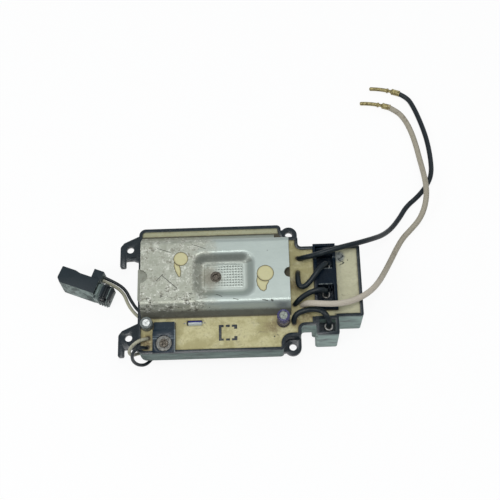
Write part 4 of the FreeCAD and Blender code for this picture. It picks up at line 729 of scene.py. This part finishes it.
# ---- resin
def rounded(corners):
    """Points of an anticlockwise outline whose (x, y, radius) corners become tangent arcs."""
    points = []
    for before, here, after in zip(np.roll(corners, 1, 0), corners, np.roll(corners, -1, 0)):
        back, ahead = before[:2] - here[:2], after[:2] - here[:2]
        back, ahead = back / np.hypot(*back), ahead / np.hypot(*ahead)
        half = np.arccos(back @ ahead) / 2
        centre = here[:2] + (back + ahead) / np.hypot(*(back + ahead)) * here[2] / sin(half)
        start = here[:2] + back * here[2] / np.tan(half) - centre
        sweep = np.sign(ahead[0] * back[1] - ahead[1] * back[0]) * (pi - 2 * half)
        turn = np.linspace(0, sweep, 12)
        points.append(centre + np.stack([start[0] * np.cos(turn) - start[1] * np.sin(turn),
                                         start[0] * np.sin(turn) + start[1] * np.cos(turn)], -1))
    return np.concatenate(points)


INNER_WALL = rounded(np.array([
    (-63.85, -40.85, 2.4), (26.45, -40.85, 0.9), (26.45, -31.75, 6.5), (37.3, -31.75, 0.3),
    (37.3, -25.15, 4.4), (61.55, -25.15, 0.1), (61.55, -19.95, 0.1), (77.75, -19.95, 0.3),
    (77.75, 25.05, 0.3), (37.3, 25.05, 4.4), (37.3, 32.15, 0.3), (26.45, 32.15, 7.1),
    (26.45, 40.85, 0.9), (-63.85, 40.85, 2.4)]))


def to_outline(x, y, corners):
    """Distance to the nearest side of a closed outline, and whether the point is inside it."""
    near = np.full(x.shape, 1e9)
    inside = np.zeros(x.shape, bool)
    for (x0, y0), (x1, y1) in zip(corners, np.roll(corners, -1, 0)):
        dx, dy = x1 - x0, y1 - y0
        t = np.clip(((x - x0) * dx + (y - y0) * dy) / (dx * dx + dy * dy), 0, 1)
        near = np.minimum(near, np.hypot(x - x0 - t * dx, y - y0 - t * dy))
        if dy:
            crosses = (y0 > y) != (y1 > y)
            inside ^= crosses & (x < x0 + (y - y0) * dx / dy)
    return near, inside


def block_distance(x, y, x0, x1, y0, y1):
    """Distance outside an upright block; 0 within it."""
    return np.hypot(np.maximum(np.maximum(x0 - x, x - x1), 0),
                    np.maximum(np.maximum(y0 - y, y - y1), 0))


def resin_surface():
    """Height = level + slow swell + a curl that climbs each wall as 0.75 exp(-distance / 0.8)."""
    x, y = np.meshgrid(np.arange(-64.6, 78.5, 0.5), np.arange(-41.5, 41.6, 0.5), indexing="ij")
    wall, inside = to_outline(x, y, INNER_WALL)
    near = wall.copy()
    blocks = [(48.95, 63.55, -17.35, 25.6), (46.95, 65.55, -34.0, -21.45)]
    for node in ("power_block", "heat_sink_plate"):
        _, low, high = middle(node)
        blocks.append((low[0], high[0], low[1] + 0.5, high[1] - 0.5))
    for block in blocks:
        near = np.minimum(near, block_distance(x, y, *block))
    for node, radius in (("left_capacitor_sleeve", 3.95), ("right_capacitor_sleeve", 4.1)):
        at = middle(node)[0]
        near = np.minimum(near, np.maximum(np.hypot(x - at[0], y - at[1]) - radius, 0))
    at, low, high = middle("diode_body")
    near = np.minimum(near, 0.3 + block_distance(x, y, low[0], high[0], low[1], high[1]))
    mound = 0 * x
    for place in ((38.6, 9.0), (35.6, -13.0), (34.9, -25.4), (38.9, 18.9), (40.5, -13.6),
                  (-59.0, -32.5), (-59.3, -38.6)):
        far = np.hypot(x - place[0], y - place[1])
        near = np.minimum(near, np.maximum(far - 1.3, 0))
        mound += 0.5 * np.exp(-(far / 3.2) ** 2)
    swell = (0.10 * np.sin(x * 0.31 + 1.3 * np.sin(y * 0.23)) + 0.07 * np.sin(y * 0.47 + x * 0.11)
             + 0.04 * np.sin(x * 0.93 + 1.1) * np.sin(y * 0.81))
    z = RESIN_TOP + swell * np.clip(near / 3.0, 0, 1) + mound + 0.75 * np.exp(-near / 0.8) - 0.05
    z = np.where(inside, z, np.minimum(z, RESIN_TOP + 0.7))
    bar = block_distance(x, y, 49.7, 62.8, -16.6, 25.6) == 0
    box_hole = block_distance(x, y, 49.7, 62.8, -34.0, -22.2) == 0
    keep = (inside | (wall < 0.75)) & ~bar & ~box_hole
    sheet_piece("resin_surface", x, y, z, "resin", keep, "edge", near,
                stands_for=("potting_resin",))


resin_surface()


def comma_fill(name, centre, radius, tail):
    """Resin that fills a comma hole, flush with the plate: height = top + 0.03 + 0.03 sin(0.9 x +
    y).

    The outline is the disc together with the tail; "edge" is the distance to it in
    millimetres, or to the disc's own line where the tail meets the disc.
    """
    x, y = np.meshgrid(np.arange(-7, 7, 0.14) + centre[0], np.arange(-14, 7, 0.14) + centre[1],
                       indexing="ij")
    lobe, in_lobe = to_outline(x, y, np.array(tail) + centre)
    disc = np.hypot(x - centre[0], y - centre[1]) - radius
    out = np.minimum(disc, np.where(in_lobe, -lobe, lobe))
    line = np.where(in_lobe | (disc < 0), np.minimum(-out, 0.12 + 0.8 * np.abs(disc + 0.2)), -out)
    line = np.where((disc < 0) & ~in_lobe, -out, line)
    z = PLATE_TOP + 0.03 + 0.03 * np.sin(x * 0.9 + y)
    sheet_piece(name, x, y, z, "resin", out < 0.12, "edge", line, coat="resin_clean")


PLATE_TOP = 37.1
comma_fill("comma_fill_left", (-37.25, 17.7), 4.8,
           [(-4.5, -1.6), (-4.5, -5.0), (-3.6, -8.4), (-1.6, -12.2), (-0.2, -12.6),
            (0.2, -8.6), (-0.6, -5.0), (-0.6, -3.6)])
comma_fill("comma_fill_right", (17.35, 6.1), 5.5,
           [(-5.3, -1.4), (-5.9, -5.2), (-5.3, -8.4), (-3.4, -11.4), (-1.2, -12.4),
            (0.5, -11.0), (0.8, -8.4), (2.4, -5.6), (1.0, -4.0)])


# ---- plate and its screw
def rounded_block(x, y, half_x, half_y, radius):
    """Signed distance to a rectangle with round corners about the dish's middle."""
    qx = np.abs(x - DISH[0]) - half_x + radius
    qy = np.abs(y - DISH[1]) - half_y + radius
    return (np.hypot(np.maximum(qx, 0), np.maximum(qy, 0))
            + np.minimum(np.maximum(qx, qy), 0) - radius)


def plate_skin():
    """Sheet bent along x with a pressed dish.

    Along y the sheet is level between two bends of radius 4 and runs down at 54 degrees to its
    feet.  The dish falls by 4.6 between two rounded rectangles: with t from 0 at the outer one
    to 1 at the floor, it falls as a straight slope whose ends are eased over a third of t.  The
    ends of each row stop at the plate's sides, or at the arc of the round notch in each side.
    """
    _, low, high = middle("heat_sink_plate")
    slope = np.arctan2(high[2] - low[2], 7.2)
    back, front = high[1] - 7.2, low[1] + 7.2
    bend = 4.0
    reach = bend * np.tan(slope / 2)
    turn = np.linspace(0, slope, 12)
    arc_y, arc_z = bend * np.sin(turn), -bend * (1 - np.cos(turn))
    foot = np.linspace(0, 1, 14)[1:]
    run_y = (7.2 - reach * np.cos(slope)) * foot
    run_z = (low[2] - high[2] + reach * np.sin(slope)) * foot
    side_y = np.concatenate([arc_y - reach, arc_y[-1] - reach + run_y
                             * (7.2 - arc_y[-1] + reach) / run_y[-1]])
    side_z = np.concatenate([arc_z, arc_z[-1] + run_z * (low[2] - high[2] - arc_z[-1]) / run_z[-1]])
    level = np.arange(front + reach, back - reach, 0.3)[1:]
    notches = DISH[1] + np.array([-4.5, -4.4, -3.5, -3.42, 3.42, 3.5, 4.4, 4.5])
    level = np.sort(np.concatenate([level, notches]))
    y = np.concatenate([(front - side_y)[::-1], level, back + side_y])
    z = np.concatenate([side_z[::-1], 0 * level, side_z]) + high[2]
    cut = np.searchsorted(y, back + 1.0)
    y, z = np.insert(y, cut, y[cut - 1] + 0.02), np.insert(z, cut, z[cut - 1])
    bite = lambda radius: np.sqrt(np.maximum(radius ** 2 - (y - DISH[1]) ** 2, 0))
    left, right = low[0] + bite(4.5), high[0] - bite(3.5)
    right = np.where(np.arange(len(y)) >= cut, high[0] - 9.3, right)
    u = np.linspace(0, 1, 300)[:, None]
    x = left[None] + (right - left)[None] * u
    y, z = y[None] + 0 * x, z[None] + 0 * x
    outer = -rounded_block(x, y, 21.05, 16.15, 8.0)
    inner = rounded_block(x, y, 13.3, 8.85, 2.5)
    t = np.clip(outer, 0, None) / (np.clip(outer, 1e-6, None) + np.clip(inner, 0, None))
    t = np.where(inner <= 0, 1.0, t)
    ease = 0.32
    ends = np.minimum(t, 1 - t)
    fall = np.where(ends < ease, ends ** 2 / (2 * ease), ends - ease / 2) / (1 - ease)
    z = z - 4.6 * np.where(t < 0.5, fall, 1 - fall)
    piece = sheet_piece("plate_skin", x, y, z, "plate_metal", stands_for=("heat_sink_plate",))
    wall = piece.modifiers.new("sheet", "SOLIDIFY")
    wall.thickness, wall.offset = 1.6 * MM, -1.0
    return piece


plate_skin()


def waffle_floor():
    """Pressed pits in the dish's floor: height = 0.34 (1 - exp(-(distance to a pit / 0.5) ^ 2))."""
    x, y = np.meshgrid(np.arange(-22.4, 3.15, 0.15), np.arange(-1.7, 14.75, 0.15), indexing="ij")
    u = (x - 1.9 + 0.9) / 1.84
    v = (y - 13.1 + 0.9) / 1.84
    px, py = (u - np.floor(u) - 0.49) * 1.84, (v - np.floor(v) - 0.49) * 1.84
    pits = np.exp(-(np.hypot(px, py) / 0.48) ** 2)
    worn = 1 / (1 + np.exp(-(x + 12.0 + 3 * np.sin(y * 0.7)) / 1.2))
    inner = np.minimum(np.minimum(x + 22.4, 3.0 - x), np.minimum(y + 1.7, 14.6 - y))
    lift = np.clip(inner / 0.6, 0, 1)
    pits = pits * worn * (inner > 0.5)
    z = DISH_FLOOR + 0.03 + 0.34 * lift * (1 - pits)
    sheet_piece("waffle_floor", x, y, z, "plate_metal", None, "pit", pits)


waffle_floor()


def plate_screw_relief(r, t, h):
    """A hexagonal well in the middle: its wall stands where r meets 1.5 / cos of the facet."""
    facet = 1.55 / np.cos((t % (pi / 3)) - pi / 6)
    return r, h - 1.7 * (1 / (1 + np.exp((r - facet) / 0.06)))


at = middle("plate_screw")[0]
head = [(1e-3, 1.9), (0.8, 1.9), (1.3, 1.9), (1.42, 1.9), (1.5, 1.9), (1.58, 1.9), (1.66, 1.9),
        (1.74, 1.9), (1.85, 1.9), (2.1, 1.88), (2.35, 1.78), (2.55, 1.55), (2.62, 1.2),
        (2.75, 0.75), (2.9, 0.62), (3.4, 0.6), (3.55, 0.5), (3.6, 0.3), (3.6, -0.1), (1e-3, -0.1)]
points, faces = spun(head, (at[0], at[1], 32.9), 96, plate_screw_relief)
mesh_piece("plate_screw_head", points, faces, "steel_dark", stands_for=("plate_screw",))

# ---- power device
softened("power_block", 0.3, coat="power_black")
at = middle("power_screw")[0]
washer = [(1.5, 0.0), (1.5, 0.45), (1.7, 0.6), (3.2, 0.62), (4.7, 0.6), (5.05, 0.5), (5.15, 0.3),
          (5.15, 0.0), (1.5, -0.02)]
points, faces = spun(washer, (at[0], at[1], 28.9), 72)
mesh_piece("power_washer_ring", points, faces[:-2], "steel_dark", stands_for=("power_washer",),
           coat="tin_dull")


def cross_relief(r, t, h):
    """A cross recess: depth falls off from each arm's middle line and ends at 1.9 mm."""
    turned = t + 0.5
    arm = np.minimum(np.abs(r * np.cos(turned)), np.abs(r * np.sin(turned)))
    depth = 0.85 / (1 + np.exp((arm - 0.36) / 0.07)) / (1 + np.exp((r - 1.85) / 0.12))
    return r, h - depth * (1.15 - 0.3 * r / 1.9)


radii = np.concatenate([np.linspace(1e-3, 2.2, 28), [2.4, 2.6, 2.75, 2.85, 2.9, 2.9, 1e-3]])
dome = 1.35 - 0.10 * (radii / 2.2) ** 2
dome[-7:] = [1.20, 1.08, 0.92, 0.7, 0.45, 0.0, 0.0]
points, faces = spun(list(zip(radii, dome)), (at[0], at[1], 29.5), 96, cross_relief)
mesh_piece("power_screw_head", points, faces, "steel_dark", stands_for=("power_screw",))


# ---- capacitors and diode
def capacitor(side, radius, top):
    """A rounded sleeve that turns in over the can, and the can's domed top with its vent cross."""
    at = middle(side + "_capacitor_sleeve")[0]
    lip = radius - 1.4
    turned_in = ((0, -2.6), (0.14, -2.2), (0.17, -1.9), (0.10, -1.55), (0, -1.2), (0, -0.55),
                 (0.12, -0.1), (0.4, 0.2), (0.75, 0.29), (1.4, 0.24), (1.45, 0.1), (1.4, -0.15),
                 (0.4, -0.6))
    sleeve_profile = ([(radius - 0.3, 20.0), (radius, 20.0)]
                      + [(radius - inward, top + up) for inward, up in turned_in]
                      + [(radius - 0.4, 20.0)])
    points, faces = spun(sleeve_profile, (at[0], at[1], 0.0), 72)
    mesh_piece(side + "_sleeve", points, faces[:-2],
               "sleeve_grey" if side == "left" else "sleeve_violet",
               stands_for=(side + "_capacitor_sleeve",))

    def vent(r, t, h):
        arm = np.minimum(np.abs(r * np.cos(t + 0.6)), np.abs(r * np.sin(t + 0.6)))
        return r, h - 0.22 * np.exp(-(arm / 0.16) ** 2) / (1 + np.exp((r - lip * 0.8) / 0.1))

    rings = np.concatenate([np.linspace(1e-3, lip - 0.25, 16), [lip - 0.1, lip + 0.1, lip + 0.2]])
    height = np.concatenate([np.full(16, top - 0.02), [top - 0.12, top - 0.35, top - 1.0]])
    points, faces = spun(list(zip(rings, height)), (at[0], at[1], 0.0), 72, vent)
    mesh_piece(side + "_can", points, faces, "can_metal", stands_for=(side + "_capacitor_can",),
               coat="can_metal" if side == "left" else "can_dull")


capacitor("left", 3.95, 33.7)
capacitor("right", 4.1, 40.9)


def diode():
    """A round body on its side: radius falls to the leads as the square root near each end."""
    at, low, high = middle("diode_body")
    s = np.linspace(0, 1, 60)
    line = np.stack([low[0] + (high[0] - low[0]) * s, 0 * s + at[1], 0 * s + at[2]], -1)
    turn = np.linspace(0, TAU, 40, endpoint=False)

    def section(place):
        from_end = min(place, 1 - place) * (high[0] - low[0])
        radius = 1.85 * min(1.0, (0.08 + from_end / 0.9) ** 0.5)
        if 0.12 < place < 0.16 or 0.80 < place < 0.82:
            radius -= 0.1
        return np.stack([radius * np.cos(turn), radius * np.sin(turn)], -1)

    points, faces = along(line, section)
    return mesh_piece("diode_shell", points, faces, "diode_glass", stands_for=("diode_body",))


diode()


# ---- contact pins
def contact_pin(node, start, aim, bend):
    """A crimped pin along a line that curves by bend: each stretch has its own section.

    The barrel is a heart-shaped roll with a seam on top and flared ends, the neck is pinched
    flat, and the pin is a rolled tube with a fine seam and a rounded tip.
    """
    k = 1.155
    forward = np.array((cos(radians(aim)), sin(radians(aim)), 0.0))
    side = np.array((-forward[1], forward[0], 0.0))
    s = np.linspace(-1.4, 17.7, 130)
    curve = np.clip((s - 5.0) / 12.7, 0, 1) ** 1.8
    line = (np.array(start)[None] + forward * s[:, None] * k + side * (bend * curve)[:, None])
    line[:, 2] -= np.clip((s - 4.0) / 3.0, 0, 1) * 0.25
    turn = np.linspace(0, TAU, 48, endpoint=False)

    def section(place):
        here = -1.4 + 19.1 * place
        seam = np.exp(-((turn - pi / 2) / 0.16) ** 2)
        flare = np.exp(-((here + 1.2) / 0.35) ** 2) + 0.7 * np.exp(-((here - 3.3) / 0.3) ** 2)
        barrel = 1.86 - 0.10 * np.abs(np.sin(here * 1.9)) + 0.13 * flare
        tall = 1.0
        if here < 3.6:
            radius = barrel - 0.45 * seam
        elif here < 4.4:
            mix = (here - 3.6) / 0.8
            radius = (barrel - 0.4 * seam) * (1 - mix) + 1.05 * mix
        elif here < 5.9:
            radius, tall = np.full(turn.shape, 1.02), 0.75
        elif here < 7.0:
            radius = 1.5 - 0.3 * seam
        else:
            radius = 1.17 - 0.10 * seam * (here < 16.0)
            if here > 16.9:
                radius = radius * max(0.35, (1 - ((here - 16.9) / 0.95) ** 2)) ** 0.5
        return np.stack([radius * np.cos(turn), radius * tall * np.sin(turn)], -1) * k

    points, faces = along(line, section)
    return mesh_piece(node + "_shell", points, faces, "brass", stands_for=(node,))


black_pin = contact_pin("black_pin_terminal", (118.0, 155.2, 2.4), 160.0, 2.6)
white_pin = contact_pin("white_pin_terminal", (110.4, 143.9, 2.4), 162.0, 2.6)

# ---- tray, bar and plug
softened("housing_tray", 0.3)
softened("connector_bar", 0.22, coat="bar_black")
softened("coil_former", 0.12)
plug_pieces = [softened("plug_cover", 0.35), softened("plug_block", 0.2),
               softened("plug_latch", 0.2, body="latch"), nodes["plug_contacts"],
               nodes["latch_pin"]]

# ---- leads take their finishes and ride with the module
lead_facts = {
    "jumper_back": ("lead_black", 0.0493, 0.0035, "object", ()),
    "jumper_middle": ("lead_black", 0.0360, 0.0035, "object", ()),
    "jumper_front": ("lead_black", 0.0457, 0.0035, "object", ()),
    "black_lead": ("lead_black", 0.2165, 0.0035, "connector", (black_pin,)),
    "white_lead": ("lead_white", 0.2382, 0.0039, "connector", (white_pin,)),
    "signal_lead_cream": ("lead_cream", 0.1266, 0.0022, "plug", plug_pieces),
    "signal_lead_black": ("lead_black", 0.1210, 0.0022, "plug", plug_pieces),
}
for node, (slot, length, diameter, end, carried) in lead_facts.items():
    piece = finish_piece(leads[node], slot, stands_for=(node,))
    "limp" if end == "plug" else "medium"
    tuple(carried)


# ---- light and ground
def wired(tree, kind, sockets=None, **settings):
    """A new node of a tree; each socket takes a value, or a link from another node's socket."""
    made = tree.nodes.new(kind)
    for key, value in settings.items():
        setattr(made, key, value)
    for key, value in (sockets or {}).items():
        if isinstance(value, bpy.types.NodeSocket):
            tree.links.new(value, made.inputs[key])
        else:
            made.inputs[key].default_value = value
    return made.outputs


def shade(name, strength):
    """Pale ground: plain to the lamps, and mostly even white to the eye, metal and glass."""
    material = bpy.data.materials.new(name)
    material.use_nodes = True
    tree = material.node_tree
    tree.nodes.clear()
    path = wired(tree, "ShaderNodeLightPath")
    seen = wired(tree, "ShaderNodeMath", {0: path["Is Camera Ray"], 1: path["Is Glossy Ray"]},
                 operation="MAXIMUM")
    share = wired(tree, "ShaderNodeMath", {0: seen[0], 1: strength}, operation="MULTIPLY")
    plain = wired(tree, "ShaderNodeBsdfDiffuse", {"Color": (0.92, 0.92, 0.92, 1)})
    glow = wired(tree, "ShaderNodeEmission", {"Strength": 1.0})
    mixed = wired(tree, "ShaderNodeMixShader", {0: share[0], 1: plain[0], 2: glow[0]})
    wired(tree, "ShaderNodeOutputMaterial", {"Surface": mixed[0]})
    return material


ground_mesh = bpy.data.meshes.new("ground")
ground_mesh.from_pydata([(-3, -3, -0.0002), (3, -3, -0.0002), (3, 3, -0.0002), (-3, 3, -0.0002)],
                        [], [(0, 1, 2, 3)])
ground = bpy.data.objects.new("ground", ground_mesh)
ground_mesh.materials.append(shade("ground_white", 0.9))
scene.collection.objects.link(ground)

world = bpy.data.worlds.new("room")
scene.world = world
world.use_nodes = True
tree = world.node_tree
tree.nodes.clear()
toward = wired(tree, "ShaderNodeTexCoord")["Generated"]
high_back = wired(tree, "ShaderNodeVectorMath", {0: toward, 1: (0.10, 0.52, 0.85)},
                  operation="DOT_PRODUCT")["Value"]
glow = wired(tree, "ShaderNodeMapRange", {
    "Value": high_back, "From Min": 0.15, "From Max": 1.0, "To Min": 0.30, "To Max": 0.80,
}, interpolation_type="SMOOTHSTEP")["Result"]
sky = wired(tree, "ShaderNodeBackground", {"Color": (0.93, 0.97, 1.0, 1), "Strength": glow})
seen_sky = wired(tree, "ShaderNodeBackground", {"Strength": 1.0})
eye = wired(tree, "ShaderNodeLightPath")["Is Camera Ray"]
both = wired(tree, "ShaderNodeMixShader", {0: eye, 1: sky[0], 2: seen_sky[0]})
wired(tree, "ShaderNodeOutputWorld", {"Surface": both[0]})


def lamp(name, place, aim, power, size):
    light = bpy.data.lights.new(name, "AREA")
    light.shape, light.size, light.energy = "DISK", size, power
    holder = bpy.data.objects.new(name, light)
    holder.location = place
    away = np.array(place, float) - np.array(aim, float)
    away /= np.linalg.norm(away)
    holder.rotation_euler = (np.arccos(away[2]), 0, np.arctan2(away[0], -away[1]))
    scene.collection.objects.link(holder)


lamp("overhead_softbox", (0.05, -0.12, 1.35), (0, 0, 0.02), 5.5, 0.45)
lamp("side_softbox", (-0.9, -0.45, 0.8), (0, 0, 0.02), 3.5, 0.5)
scene.view_settings.view_transform = "Standard"
